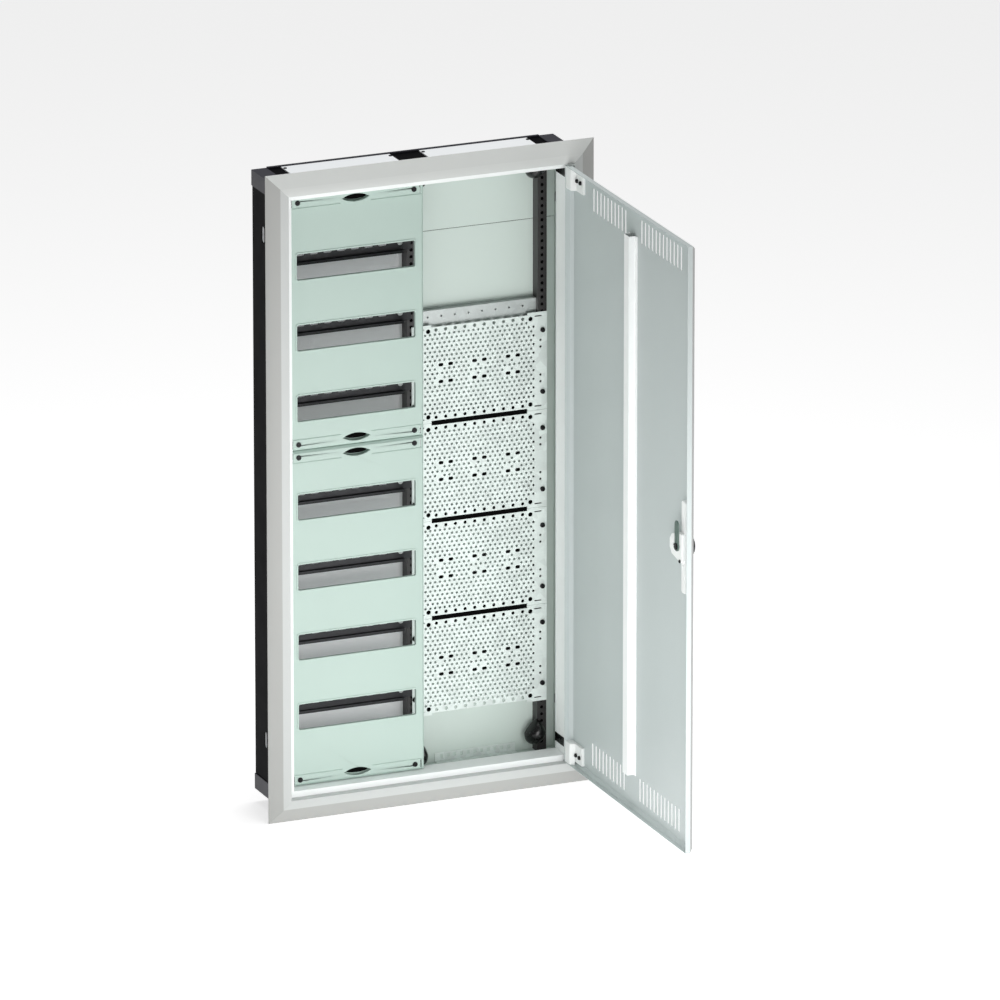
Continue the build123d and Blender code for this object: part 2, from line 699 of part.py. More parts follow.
def make_cross_rail():
    """Channel between the middle and right-hand uprights, just above the top plate."""
    x0 = RAIL_XS[1] + RAIL_W
    x1 = RAIL_XS[2]
    y0 = WALL_Y + CROSS_FACE_DEPTH
    z1 = INNER_TOP - PLATE_FIRST + CROSS_VISIBLE
    z0 = z1 - CROSS_H
    t = CROSS_T
    rail = block(x0, x1, y0, BACK_Y, z0, z1)
    rail -= block(x0 - 1, x1 + 1, y0 + t, BACK_Y + 1, z0 + t, z1 - t)
    count = int((x1 - x0) / CROSS_HOLE_PITCH)
    for i in range(count):
        x = (x0 + x1) / 2 + (i - (count - 1) / 2) * CROSS_HOLE_PITCH
        rail -= rod_y(x, z1 - CROSS_VISIBLE / 2, CROSS_HOLE_R, y0 - 1, y0 + t + 1)
    return rail


def din_span():
    """Left and right ends of the top-hat rails."""
    return (-FIELD_W + DIN_LEFT_INSET, -DIN_RIGHT_INSET)


def make_din_rail(z):
    """Top-hat rail 35 wide, with slots along its web."""
    x0, x1 = din_span()
    half = DIN_H / 2
    web = DIN_CHANNEL_H / 2
    t = DIN_T
    front = DIN_Y
    back = DIN_Y + DIN_DEEP
    outline = [(front, half), (front + t, half), (front + t, web), (back, web), (back, -web),
               (front + t, -web), (front + t, -half), (front, -half), (front, -web + t),
               (back - t, -web + t), (back - t, web - t), (front, web - t)]
    rail = prism_x([(y, z + v) for y, v in outline], x0, x1)
    count = int((x1 - x0) / DIN_SLOT_PITCH) - 1
    middle = (x0 + x1) / 2
    for i in range(count):
        x = middle + (i - (count - 1) / 2) * DIN_SLOT_PITCH
        rail -= obround_y(x, z, DIN_SLOT_L, DIN_SLOT_W, back - t - 1, back + 1)
    for x in din_screw_xs():
        rail -= rod_y(x, z, DIN_SCREW_R, back - t - 1, back + 1)
    return rail


def din_screw_xs():
    """The two fixing points of a top-hat rail."""
    x0, x1 = din_span()
    return (x0 + DIN_SCREW_FROM_END, x1 - DIN_SCREW_FROM_END)


def make_din_seats():
    """Plates on the uprights that the ends of the top-hat rails lie on."""
    seats = []
    y1 = RAIL_Y
    y0 = RAIL_Y - DIN_SEAT_T
    left = RAIL_XS[0]
    right = COVER_X1
    half = DIN_SEAT_H / 2
    for z in window_heights():
        z = z + DIN_RAISE
        for x0, x1, screw_x in ((left, left + DIN_SEAT_W, din_screw_xs()[0]),
                                (right - DIN_SEAT_W, right, din_screw_xs()[1])):
            seat = block(x0, x1, y0, y1, z - half, z + half)
            seats.append(seat - rod_y(screw_x, z, DIN_SCREW_R, y0 - 1, y1 + 1))
    return group(seats)


def make_din_screws():
    """Screws through the ends of the top-hat rails."""
    screws = []
    web = DIN_Y + DIN_DEEP - DIN_T
    for z in window_heights():
        for x in din_screw_xs():
            head = rod_y(x, z + DIN_RAISE, DIN_SCREW_HEAD_R, web - DIN_SCREW_HEAD_H, web)
            shank = rod_y(x, z + DIN_RAISE, DIN_SCREW_R, web, RAIL_Y)
            screws.append(head + shank)
    return group(screws)


def window_heights():
    """Centres of all the module windows, from the top down."""
    return UPPER_WINDOW_ZS + LOWER_WINDOW_ZS


def lens(x, z, grow, y0, y1):
    """A lens-shaped bar along Y, pointed at its left and right ends."""
    half_w = GRIP_W / 2 + grow * 2
    half_h = GRIP_H / 2 + grow
    r = (half_w ** 2 + half_h ** 2) / (2 * half_h)
    upper = rod_y(x, z + half_h - r, r, y0, y1)
    lower = rod_y(x, z - half_h + r, r, y0, y1)
    return upper & lower


def fastener_places(z0, z1):
    """The four corner fasteners of a cover that spans z0 to z1."""
    places = []
    for z in (z1 - FASTENER_FROM_END, z0 + FASTENER_FROM_END):
        for x in (COVER_X0 + FASTENER_FROM_SIDE, COVER_X1 - FASTENER_FROM_SIDE):
            places.append((x, z))
    return places


def make_cover(z0, z1, window_zs):
    """Pull-off cover: a shallow moulded tray with module windows and two finger grips."""
    y0 = COVER_Y
    y1 = COVER_Y + COVER_SKIRT
    t = COVER_T
    outer = block(COVER_X0, COVER_X1, y0, y1, z0, z1)
    outer = chamfer(outer.faces().sort_by(Axis.Y)[0].edges(), COVER_BEVEL)
    hollow = block(COVER_X0 + t, COVER_X1 - t, y0 + t, y1 + 1, z0 + t, z1 - t)
    hollow = chamfer(hollow.faces().sort_by(Axis.Y)[0].edges(), COVER_BEVEL - t * (2 - math.sqrt(2)))
    cover = outer - hollow
    half_w = WINDOW_W / 2
    half_h = WINDOW_H / 2
    lip = WINDOW_LIP_T
    for z in window_zs:
        cover += block(COVER_MID_X - half_w - lip, COVER_MID_X + half_w + lip, y0 + t,
                       y0 + t + WINDOW_LIP_H, z - half_h - lip, z + half_h + lip)
        cover -= block(COVER_MID_X - half_w, COVER_MID_X + half_w, y0 - 1, y1 + 1, z - half_h, z + half_h)
    for z, inward in ((z1, -1), (z0, 1)):
        grip_z = z + inward * GRIP_FROM_END
        cover += lens(COVER_MID_X, grip_z, WINDOW_LIP_T, y0 + t / 2, y0 + GRIP_DEEP + WINDOW_LIP_T)
        cover -= lens(COVER_MID_X, grip_z, 0, y0 - 1, y0 + GRIP_DEEP)
        crease_z = z + inward * CREASE_FROM_END
        side_w = (COVER_X1 - COVER_X0) / 2 - COVER_BEVEL
        grip_half = GRIP_W / 2 + 2 * WINDOW_LIP_T
        for near, far in ((-side_w, -grip_half), (grip_half, side_w)):
            cover -= block(COVER_MID_X + near, COVER_MID_X + far, y0 - 1, y0 + CREASE_DEEP,
                           crease_z - CREASE_W / 2, crease_z + CREASE_W / 2)
        for x in (COVER_X0 + SLIT_FROM_SIDE, COVER_X1 - SLIT_FROM_SIDE):
            slit_z = z + inward * FASTENER_FROM_END
            cover -= block(x - SLIT_W / 2, x + SLIT_W / 2, y0 - 1, y0 + t + 1,
                           slit_z - SLIT_H / 2, slit_z + SLIT_H / 2)
    for x, z in fastener_places(z0, z1):
        cover -= rod_y(x, z, FASTENER_SHANK_R + FASTENER_CLEARANCE, y0 - 1, y0 + t + 1)
    return cover


def make_fastener(x, z):
    """Slotted quarter-turn fastener that stands on the cover and reaches back into its post."""
    y0 = COVER_Y - FASTENER_HEAD_H
    head = rod_y(x, z, FASTENER_HEAD_R, y0, COVER_Y)
    head = chamfer(head.faces().sort_by(Axis.Y)[0].edges(), FASTENER_HEAD_CHAMFER)
    head -= block(x - FASTENER_HEAD_R - 1, x + FASTENER_HEAD_R + 1, y0 - 1, y0 + FASTENER_SLOT_DEEP,
                  z - FASTENER_SLOT_W / 2, z + FASTENER_SLOT_W / 2)
    shank = rod_y(x, z, FASTENER_SHANK_R, COVER_Y, COVER_Y + FASTENER_L)
    return head + chamfer(shank.faces().sort_by(Axis.Y)[-1].edges(), FASTENER_TIP_CHAMFER)


def cover_spans():
    """Foot and top of the two covers."""
    half = COVER_GAP / 2
    return [(SPLIT_Z + half, INNER_TOP - COVER_GAP), (-INNER_TOP + COVER_GAP, SPLIT_Z - half)]


def make_cover_posts():
    """Plastic posts on the uprights, one behind each cover fastener."""
    posts = []
    y0 = COVER_Y + COVER_T + POST_FRONT_GAP
    bore = FASTENER_SHANK_R + POST_BORE_CLEARANCE
    half = POST_SIDE / 2
    left_x = COVER_X0 + FASTENER_FROM_SIDE
    for x, z in [place for span in cover_spans() for place in fastener_places(*span)]:
        post = block(x - half, x + half, y0, RAIL_Y, z - half, z + half)
        if x == left_x:
            foot_x0, foot_x1 = RAIL_XS[0], x + half
        else:
            foot_x0, foot_x1 = x - half, COVER_X1
        post += block(foot_x0, foot_x1, RAIL_Y - POST_FOOT_H, RAIL_Y, z - half, z + half)
        post -= rod_y(x, z, bore, y0 - 1, COVER_Y + FASTENER_L + POST_BORE_EXTRA)
        posts.append(post)
    return group(posts)


def near_any(x, z, places, reach):
    """True where a point lies closer than reach to one of the places."""
    return any(math.hypot(x - px, z - pz) < reach for px, pz in places)


def hole_wire(x, y, z, r):
    """Round hole outline in a plate that faces -Y."""
    return Wire(Edge.make_circle(r, Plane(origin=(x, y, z), x_dir=(1, 0, 0), z_dir=(0, 1, 0))))


def flat_slot_wire(x, y, z, length, width):
    """Lying slot outline with cut corners in a plate that faces -Y."""
    hx = length / 2
    hz = width / 2
    cut = width * 0.3
    corners = [(x - hx + cut, z - hz), (x + hx - cut, z - hz), (x + hx, z - hz + cut), (x + hx, z + hz - cut),
               (x + hx - cut, z + hz), (x - hx + cut, z + hz), (x - hx, z + hz - cut), (x - hx, z - hz + cut)]
    return Wire.make_polygon([Vector(px, y, pz) for px, pz in corners], close=True)


def plate_centre_z(index):
    """Height of the centre of one mounting plate."""
    return INNER_TOP - PLATE_FIRST - PLATE_PITCH * (index + 0.5)


def plate_screw_places(index):
    """The four screws that hold one plate to the two uprights."""
    z = plate_centre_z(index)
    dz = PLATE_PITCH / 2 - PLATE_SCREW_FROM_END
    left = RAIL_W / 4
    right = FIELD_W - RAIL_W / 2
    return [(x, z + s * dz) for x in (left, right) for s in (-1, 1)]


def make_mounting_plate(index):
    """Perforated plate, one quarter of the stack, with its top and bottom edges cut back."""
    xm = PLATE_MID_X
    zm = plate_centre_z(index)
    y = PLATE_Y
    hw = FIELD_W / 2
    hh = PLATE_PITCH / 2 - PLATE_JOINT / 2
    nw = PLATE_NOTCH_W / 2
    nh = hh - PLATE_NOTCH_H
    outline = [(-hw, -hh), (-nw, -hh), (-nw, -nh), (nw, -nh), (nw, -hh), (hw, -hh),
               (hw, hh), (nw, hh), (nw, nh), (-nw, nh), (-nw, hh), (-hw, hh)]
    outer = Wire.make_polygon([Vector(xm + px, y, zm + pz) for px, pz in outline], close=True)
    big = [(sx * PLATE_BIG_X, sz * (hh - PLATE_BIG_FROM_END)) for sx in (-1, 1) for sz in (-1, 1)]
    dots = []
    for i in range(PLATE_DOTS):
        px = (i - (PLATE_DOTS - 1) / 2) * PLATE_DOT_PITCH
        for sz in (-1, 1):
            dots.append((px, sz * (nh - PLATE_DOT_FROM_END + PLATE_NOTCH_H)))
    pairs = []
    for i in (-1, 0, 1):
        for sx in (-0.5, 0.5):
            for sz in (-0.5, 0.5):
                pairs.append((i * PAIR_PITCH + sx * PAIR_SPACING, sz * PAIR_ROW))
    inner = [hole_wire(xm + px, y, zm + pz, PLATE_BIG_R) for px, pz in big]
    inner += [hole_wire(xm + px, y, zm + pz, PLATE_DOT_R) for px, pz in dots]
    inner += [flat_slot_wire(xm + px, y, zm + pz, PAIR_SLOT_L, PAIR_SLOT_W) for px, pz in pairs]
    flange = [(FLANGE_HOLE_X, sz * fz) for fz in FLANGE_HOLE_ZS for sz in (-1, 1)]
    inner += [hole_wire(xm + px, y, zm + pz, FLANGE_HOLE_R) for px, pz in flange]
    for sx in (-1, 1):
        for sz in (-1, 1):
            inner.append(flat_slot_wire(xm + sx * FLANGE_SLIT_X, y, zm + sz * (hh - FLANGE_SLIT_FROM_END),
                                        FLANGE_SLIT_L, FLANGE_SLIT_W))
    for px, pz in plate_screw_places(index):
        inner.append(hole_wire(px, y, pz, PLATE_SCREW_R))
    for row in range(PERF_ROWS):
        pz = (row - (PERF_ROWS - 1) / 2) * PERF_ROW
        shift = PERF_PITCH / 2 if row % 2 else 0
        for col in range(PERF_COLS):
            px = (col - (PERF_COLS - 1) / 2) * PERF_PITCH + shift - PERF_PITCH / 4
            if near_any(px, pz, dots, PLATE_DOT_R + PERF_R + PERF_WEB):
                continue
            if near_any(px, pz, big, PLATE_BIG_R + PERF_R + PERF_WEB):
                continue
            if near_any(px, pz, pairs, PAIR_SLOT_L / 2 + PERF_R + PERF_WEB):
                continue
            inner.append(hole_wire(xm + px, y, zm + pz, PERF_R))
    return extrude(Face(outer, inner), PLATE_T, dir=(0, 1, 0))


def make_plate_screws():
    """Screws of all the mounting plates."""
    screws = []
    for index in range(PLATE_COUNT):
        for x, z in plate_screw_places(index):
            head = rod_y(x, z, PLATE_SCREW_HEAD_R, PLATE_Y - PLATE_SCREW_HEAD_H, PLATE_Y)
            shank = rod_y(x, z, PLATE_SCREW_R, PLATE_Y, RAIL_Y)
            screws.append(head + shank)
    return group(screws)


def make_tie_strip():
    """Slotted angle for cable ties at the foot of the right-hand field."""
    x0 = PLATE_MID_X - TIE_STRIP_W / 2
    x1 = PLATE_MID_X + TIE_STRIP_W / 2
    y1 = BACK_Y
    z0 = FLOOR_Z
    strip = block(x0, x1, y1 - TIE_STRIP_T, y1, z0, z0 + TIE_STRIP_H)
    strip += block(x0, x1, y1 - TIE_STRIP_LEG, y1, z0, z0 + TIE_STRIP_T)
    for i in range(TIE_SLOT_COUNT):
        x = PLATE_MID_X + (i - (TIE_SLOT_COUNT - 1) / 2) * TIE_SLOT_PITCH
        z = z0 + TIE_STRIP_H * 0.6
        strip -= block(x - TIE_SLOT_W / 2, x + TIE_SLOT_W / 2, y1 - TIE_STRIP_T - 1, y1 + 1,
                       z - TIE_SLOT_H / 2, z + TIE_SLOT_H / 2)
    return strip


def opened(shape):
    """Turns a piece of the closed door about the hinge line to where the door stands open."""
    return Pos(HINGE_X, HINGE_Y, 0) * Rot(0, 0, DOOR_OPEN_DEG) * Pos(-HINGE_X, -HINGE_Y, 0) * shape


def vent_places():
    """X of every vent slot, in the closed door."""
    xs = [-VENT_FROM_MIDDLE - i * VENT_PITCH for i in range(VENTS_FREE_SIDE)]
    return xs + [VENT_FROM_MIDDLE + i * VENT_PITCH for i in range(VENTS_HINGE_SIDE)]


def make_door_panel():
    """Folded door leaf with vents, a spindle hole and pin holes in its top and bottom folds."""
    half_w = DOOR_W / 2
    half_h = DOOR_H / 2
    t = DOOR_T
    outer = block(-half_w, half_w, DOOR_FACE_Y, DOOR_BACK_Y, -half_h, half_h)
    outer = chamfer(outer.faces().sort_by(Axis.Y)[0].edges(), DOOR_BEVEL)
    hollow = block(-half_w + t, half_w - t, DOOR_SKIN_Y, DOOR_BACK_Y + 1, -half_h + t, half_h - t)
    hollow = chamfer(hollow.faces().sort_by(Axis.Y)[0].edges(), DOOR_BEVEL - t * (2 - math.sqrt(2)))
    leaf = outer - hollow
    vents = []
    for x in vent_places():
        for s in (-1, 1):
            z = s * (half_h - VENT_FROM_END - VENT_L / 2)
            vents.append(obround_y(x, z, VENT_L, VENT_W, DOOR_FACE_Y - 1, DOOR_SKIN_Y + 1, upright=True))
    leaf = leaf - vents
    leaf -= rod_y(LOCK_X, 0, SPINDLE_R + SPINDLE_RUNNING, DOOR_FACE_Y - 1, DOOR_SKIN_Y + 1)
    hole_r = PIN_R + PIN_SHEET_CLEARANCE
    for s in (-1, 1):
        leaf -= rod_z(HINGE_X, HINGE_Y, hole_r, s * (half_h - DOOR_BEVEL), s * (half_h + 1))
    return opened(leaf)


def make_stiffener():
    """Hat profile welded upright on the inside of the leaf."""
    w = HAT_W / 2
    f = w + HAT_FLANGE
    t = HAT_T
    y0 = DOOR_SKIN_Y
    y1 = DOOR_SKIN_Y + HAT_H
    outline = [(-f, y0), (-w + t, y0), (-w + t, y1 - t), (w - t, y1 - t), (w - t, y0), (f, y0), (f, y0 + t),
               (w, y0 + t), (w, y1), (-w, y1), (-w, y0 + t), (-f, y0 + t)]
    half_h = DOOR_H / 2
    return opened(prism_z(outline, -half_h + HAT_FROM_FOOT, half_h - HAT_FROM_TOP))


def bracket_screw_xs():
    """The two screws of a hinge bracket, in the closed door."""
    x1 = DOOR_W / 2 - DOOR_T
    return [x1 - HINGE_BRACKET_L + spot for spot in BRACKET_SCREW_SPOTS]


def make_hinge_bracket(s):
    """Moulded bracket in one hinge corner of the door, bored for the hinge pin."""
    t = DOOR_T
    x1 = DOOR_W / 2 - t
    x0 = x1 - HINGE_BRACKET_L
    y0 = DOOR_SKIN_Y
    y1 = DOOR_BACK_Y - HINGE_BRACKET_BACK_GAP
    inner_bevel = DOOR_BEVEL - t * (2 - math.sqrt(2)) + HINGE_BRACKET_FIT
    z_out = s * (DOOR_H / 2 - t)
    z_in = z_out - s * HINGE_BRACKET_H
    head_x = x1 - HINGE_BRACKET_HEAD_L
    thin_y = y0 + HINGE_BRACKET_THIN
    side_x = x1 - HINGE_BRACKET_FIT
    outline = [(x0, y0), (x1 - inner_bevel, y0), (side_x, y0 + inner_bevel - HINGE_BRACKET_FIT), (side_x, y1),
               (head_x, y1), (head_x - HINGE_BRACKET_STEP, thin_y), (x0, thin_y)]
    bracket = prism_z(outline, min(z_in, z_out), max(z_in, z_out))
    corner_cut = block(x0 - 1, x1 + 1, y0 - 1, y0 + inner_bevel, z_out - s * inner_bevel, z_out + s)
    bracket -= corner_cut
    bracket -= rod_z(HINGE_X, HINGE_Y, PIN_R + PIN_RUNNING, min(z_in, z_out) - 1, max(z_in, z_out) + 1)
    z_mid = (z_in + z_out) / 2
    for x in bracket_screw_xs():
        bracket -= rod_y(x, z_mid, BRACKET_SCREW_R, y0 - 1, thin_y + 1)
    return opened(bracket)


def make_bracket_screws():
    """Screws of both hinge brackets."""
    screws = []
    y0 = DOOR_SKIN_Y
    thin_y = y0 + HINGE_BRACKET_THIN
    for s in (-1, 1):
        z = s * (DOOR_H / 2 - DOOR_T - HINGE_BRACKET_H / 2)
        for x in bracket_screw_xs():
            shank = rod_y(x, z, BRACKET_SCREW_R, y0, thin_y)
            head = rod_y(x, z, BRACKET_SCREW_HEAD_R, thin_y, thin_y + BRACKET_SCREW_HEAD_H)
            screws.append(opened(shank + head))
    return group(screws)


def make_hinge_lug(s):
    """Lug of flat steel under the trim frame's return, reaching forward to the hinge line."""
    z_out = s * OPEN_H / 2
    z_in = z_out - s * LUG_T
    x1 = OPEN_W / 2
    x0 = x1 - LUG_W
    y0 = HINGE_Y - LUG_FRONT
    lug = block(x0, x1, y0, WALL_Y + TRIM_RETURN_DEPTH, min(z_in, z_out), max(z_in, z_out))
    jamb_front = WALL_Y + JAMB_FRONT_DEPTH
    lug -= block(x0 - 1, x1 + 1, jamb_front, WALL_Y + TRIM_RETURN_DEPTH + 1, z_in - 9, z_in + 9)
    lug -= rod_z(HINGE_X, HINGE_Y, PIN_R, min(z_in, z_out) - 1, max(z_in, z_out) + 1)
    return lug


def make_hinge_pin(s):
    """Headed pin held in the lug, with its free end in the door's bracket."""
    z_out = s * OPEN_H / 2
    z_tip = z_out - s * (LUG_T + DOOR_END_GAP + PIN_ENGAGE)
    return rod_z(HINGE_X, HINGE_Y, PIN_R, min(z_tip, z_out), max(z_tip, z_out))


def lock_plan():
    """X of the lock bar's two edges and of the lock body's inner edge, in the closed door."""
    bar_mid = FREE_X + LOCK_BAR_FROM_EDGE
    return bar_mid - LOCK_BAR_W / 2, bar_mid + LOCK_BAR_W / 2, bar_mid - LOCK_BAR_W / 2 + LOCK_BODY_W


def make_lock_case():
    """White lock case: a tall bar with a wider body, bored for the spindle."""
    x0, x1, body_x = lock_plan()
    y0 = DOOR_SKIN_Y
    bar = block(x0, x1, y0, y0 + LOCK_BAR_T, -LOCK_BAR_HALF, LOCK_BAR_HALF)
    bar = chamfer(bar.edges().filter_by(Axis.Y), LOCK_CORNER_R)
    h = LOCK_BODY_H / 2
    outline = [(x0, -h), (x0, h), (x1, h), (body_x - LOCK_STEP, h * 0.6), (body_x, h * 0.2),
               (body_x, -h * 0.4), (body_x - LOCK_STEP, -h * 0.8), (x1, -h)]
    body = prism_y(outline, y0, y0 + LOCK_BODY_T)
    body = fillet(body.edges().filter_by(Axis.Y), LOCK_CORNER_R)
    case = bar + body
    case -= rod_y(LOCK_X, 0, SPINDLE_R + SPINDLE_RUNNING, y0 - 1, y0 + LOCK_BODY_T + 1)
    case -= rod_y(FREE_X + LOCK_EYE_FROM_EDGE, 0, LOCK_EYE_R, y0 + LOCK_BODY_T / 2, y0 + LOCK_BODY_T + 1)
    case -= rod_y((x0 + x1) / 2, -h - LOCK_DOT_DROP, LOCK_DOT_R, y0 + LOCK_BAR_T / 2, y0 + LOCK_BAR_T + 1)
    return opened(case)


def make_lock_knob():
    """Round knob outside the door, dished with a grip bar, and its spindle through the lock."""
    y1 = DOOR_FACE_Y - KNOB_GAP
    y0 = y1 - KNOB_T
    knob = rod_y(LOCK_X, 0, KNOB_R, y0, y1)
    knob = chamfer(knob.faces().sort_by(Axis.Y)[0].edges(), KNOB_CHAMFER)
    dish = rod_y(LOCK_X, 0, KNOB_DISH_R, y0 - 1, y0 + KNOB_DISH_DEEP)
    dish -= block(LOCK_X - KNOB_BAR_W / 2, LOCK_X + KNOB_BAR_W / 2, y0 - 2, y0 + KNOB_DISH_DEEP + 1,
                  -KNOB_R, KNOB_R)
    knob -= dish
    spindle = rod_y(LOCK_X, 0, SPINDLE_R, y1, CAM_Y + CAM_T)
    return opened(knob + spindle)


def make_lock_cam():
    """Flat tongue on the end of the spindle, upright when the lock is open."""
    y0 = CAM_Y
    hub = rod_y(LOCK_X, 0, CAM_HUB_R, y0, y0 + CAM_T)
    tip_z = CAM_REACH - CAM_W / 2
    cam = hub + block(LOCK_X - CAM_W / 2, LOCK_X + CAM_W / 2, y0, y0 + CAM_T, 0, tip_z)
    cam += rod_y(LOCK_X, tip_z, CAM_W / 2, y0, y0 + CAM_T)
    return opened(cam - rod_y(LOCK_X, 0, SPINDLE_R, y0 - 1, y0 + CAM_T + 1))


def make_cam_screw():
    """Screw that holds the tongue on the spindle."""
    y0 = CAM_Y + CAM_T
    head = rod_y(LOCK_X, 0, CAM_SCREW_R, y0, y0 + CAM_SCREW_H)
    reach = CAM_SCREW_R + 1
    head -= block(LOCK_X - reach, LOCK_X + reach, y0 + CAM_SCREW_H / 2, y0 + CAM_SCREW_H + 1,
                  -FASTENER_SLOT_W / 2, FASTENER_SLOT_W / 2)
    return opened(head)


def build_parts():
    """Every node of the cabinet by name."""
    parts = {}
    parts["wall_box"] = make_wall_box()
    parts["box_corner_caps"] = make_corner_caps()
    parts["cable_entry_plates"] = make_entry_plates()
    parts["entry_plate_screws"] = make_entry_screws()
    parts["masonry_anchors"] = make_masonry_anchors()
    for side in ("top", "bottom", "left", "right"):
        parts["trim_frame_" + side] = make_trim_rail(side)
    parts["trim_fixing_blocks"] = make_trim_blocks()
    parts["jamb_left"] = make_upright_jamb("left")
    parts["jamb_right"] = make_upright_jamb("right")
    parts["jamb_head"] = make_cross_jamb("head")
    parts["jamb_sill"] = make_cross_jamb("sill")
    parts["hinge_jamb_blocks"] = make_hinge_blocks()
    seam = BOX_IN_Z - UPPER_PANEL_H
    parts["back_panel_upper"] = make_back_panel(seam + BACK_PANEL_GAP / 2, BOX_IN_Z - ROOF_CLEARANCE)
    parts["back_panel_lower"] = make_back_panel(-BOX_IN_Z, seam - BACK_PANEL_GAP / 2)
    parts["side_panels"] = group([make_side_panel(s) for s in (-1, 1)])
    parts["floor_panel"] = make_floor_panel()
    for name, x0 in zip(("left", "middle", "right"), RAIL_XS):
        parts["mounting_rail_" + name] = make_mounting_rail(x0)
    parts["rail_clamps"] = make_rail_clamps()
    parts["cross_rail"] = make_cross_rail()
    for i, z in enumerate(window_heights()):
        parts[f"din_rail_{i + 1}"] = make_din_rail(z + DIN_RAISE)
    parts["din_rail_seats"] = make_din_seats()
    parts["din_rail_screws"] = make_din_screws()
    parts["cover_posts"] = make_cover_posts()
    for i in range(PLATE_COUNT):
        parts[f"mounting_plate_{i + 1}"] = make_mounting_plate(i)
    parts["plate_screws"] = make_plate_screws()
    parts["cable_tie_strip"] = make_tie_strip()
    for name, (z0, z1), zs in zip(("upper", "lower"), cover_spans(), (UPPER_WINDOW_ZS, LOWER_WINDOW_ZS)):
        parts["cover_" + name] = make_cover(z0, z1, zs)
        for i, (x, z) in enumerate(fastener_places(z0, z1)):
            parts[f"cover_{name}_fastener_{i + 1}"] = make_fastener(x, z)
    parts["door_panel"] = make_door_panel()
    parts["door_stiffener"] = make_stiffener()
    parts["door_hinge_brackets"] = group([make_hinge_bracket(s) for s in (-1, 1)])
    parts["door_bracket_screws"] = make_bracket_screws()
    parts["hinge_lugs"] = group([make_hinge_lug(s) for s in (-1, 1)])
    parts["hinge_pins"] = group([make_hinge_pin(s) for s in (-1, 1)])
    parts["lock_case"] = make_lock_case()
    parts["lock_knob"] = make_lock_knob()
    parts["lock_cam"] = make_lock_cam()
    parts["lock_cam_screw"] = make_cam_screw()
    return parts


os.makedirs("parts", exist_ok=True)
for node, shape in build_parts().items():
    export_step(shape, f"parts/{node}.step")
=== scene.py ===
import json
import math

import bmesh
import bpy
from mathutils import Matrix, Vector

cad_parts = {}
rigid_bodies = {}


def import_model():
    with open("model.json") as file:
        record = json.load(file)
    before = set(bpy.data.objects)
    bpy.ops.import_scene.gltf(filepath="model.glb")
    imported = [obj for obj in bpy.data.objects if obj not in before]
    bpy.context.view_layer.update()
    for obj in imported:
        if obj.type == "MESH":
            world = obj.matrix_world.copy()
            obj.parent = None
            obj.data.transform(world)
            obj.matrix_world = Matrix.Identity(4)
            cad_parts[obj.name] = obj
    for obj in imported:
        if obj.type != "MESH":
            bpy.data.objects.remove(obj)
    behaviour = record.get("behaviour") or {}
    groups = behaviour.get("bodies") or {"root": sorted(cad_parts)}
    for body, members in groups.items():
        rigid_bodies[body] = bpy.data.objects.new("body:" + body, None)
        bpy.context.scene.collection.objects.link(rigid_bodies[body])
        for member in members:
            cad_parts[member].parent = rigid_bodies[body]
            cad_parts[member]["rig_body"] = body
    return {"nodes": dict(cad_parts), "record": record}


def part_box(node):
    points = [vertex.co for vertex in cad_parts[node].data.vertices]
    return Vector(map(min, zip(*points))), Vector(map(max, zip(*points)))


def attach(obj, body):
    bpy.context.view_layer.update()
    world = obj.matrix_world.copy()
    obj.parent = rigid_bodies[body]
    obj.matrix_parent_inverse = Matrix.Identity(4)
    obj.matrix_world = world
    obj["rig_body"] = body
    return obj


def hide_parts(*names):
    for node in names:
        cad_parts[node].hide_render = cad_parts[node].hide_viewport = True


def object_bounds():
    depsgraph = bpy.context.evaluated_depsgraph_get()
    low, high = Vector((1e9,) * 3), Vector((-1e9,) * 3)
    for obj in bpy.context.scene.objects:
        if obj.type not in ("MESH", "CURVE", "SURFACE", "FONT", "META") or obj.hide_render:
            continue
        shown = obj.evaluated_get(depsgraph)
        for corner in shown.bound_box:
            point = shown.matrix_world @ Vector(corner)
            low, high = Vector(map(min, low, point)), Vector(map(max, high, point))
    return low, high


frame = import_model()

bl_info = {
    "name": "Flush distribution cabinet",
    "version": (1, 0, 0),
    "blender": (4, 5, 0),
    "location": "View3D > Sidebar > Cabinet",
    "description": "Finishes a two-field wall cabinet with its door open, piece by piece",
    "category": "Object",
}

MM = 0.001
MERGE = 1e-6
FRONT, BACK = (0, -1, 0), (0, 1, 0)
LEFT, RIGHT = (-1, 0, 0), (1, 0, 0)
CAD_BOX = [list(corner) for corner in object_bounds()]
WINDOWS = [opening["box_m"] for opening in frame["record"]["physics"]["openings"]
           if opening["name"].startswith("module_window")]
COVERS = ("cover_upper", "cover_lower")
FASTENERS_PER_COVER = 4
PLATE_COUNT = 4
TRIM_SIDES = ("top", "bottom", "left", "right")

# Edges sharper than this are rounded, and faces flatter than this are joined first.
SHARP_DEG = 28.0
FLAT_DEG = 0.5

# Painted sheet: slope of the trim frame, bevel of the door, lip behind the wall box. The slope and bevel
# widths also bound painted shade.
TRIM_SLOPE = 24.0 * MM
DOOR_BEVEL = 6.5 * MM
LIP_INSET = 26.0 * MM

# Uprights: sheet thickness, and the gap between a nut strip's end and the upright's.
RAIL_SHEET = 1.5 * MM
END_GAP = 2.0 * MM

# Clamps, as shares of their half sizes; those right of MIDDLE_FIELD lean the other way.
MIDDLE_FIELD = 0.1
CLAMP_BELLY = 0.86
CLAMP_TAPER = 0.45
CLAMP_LEAN = -0.14

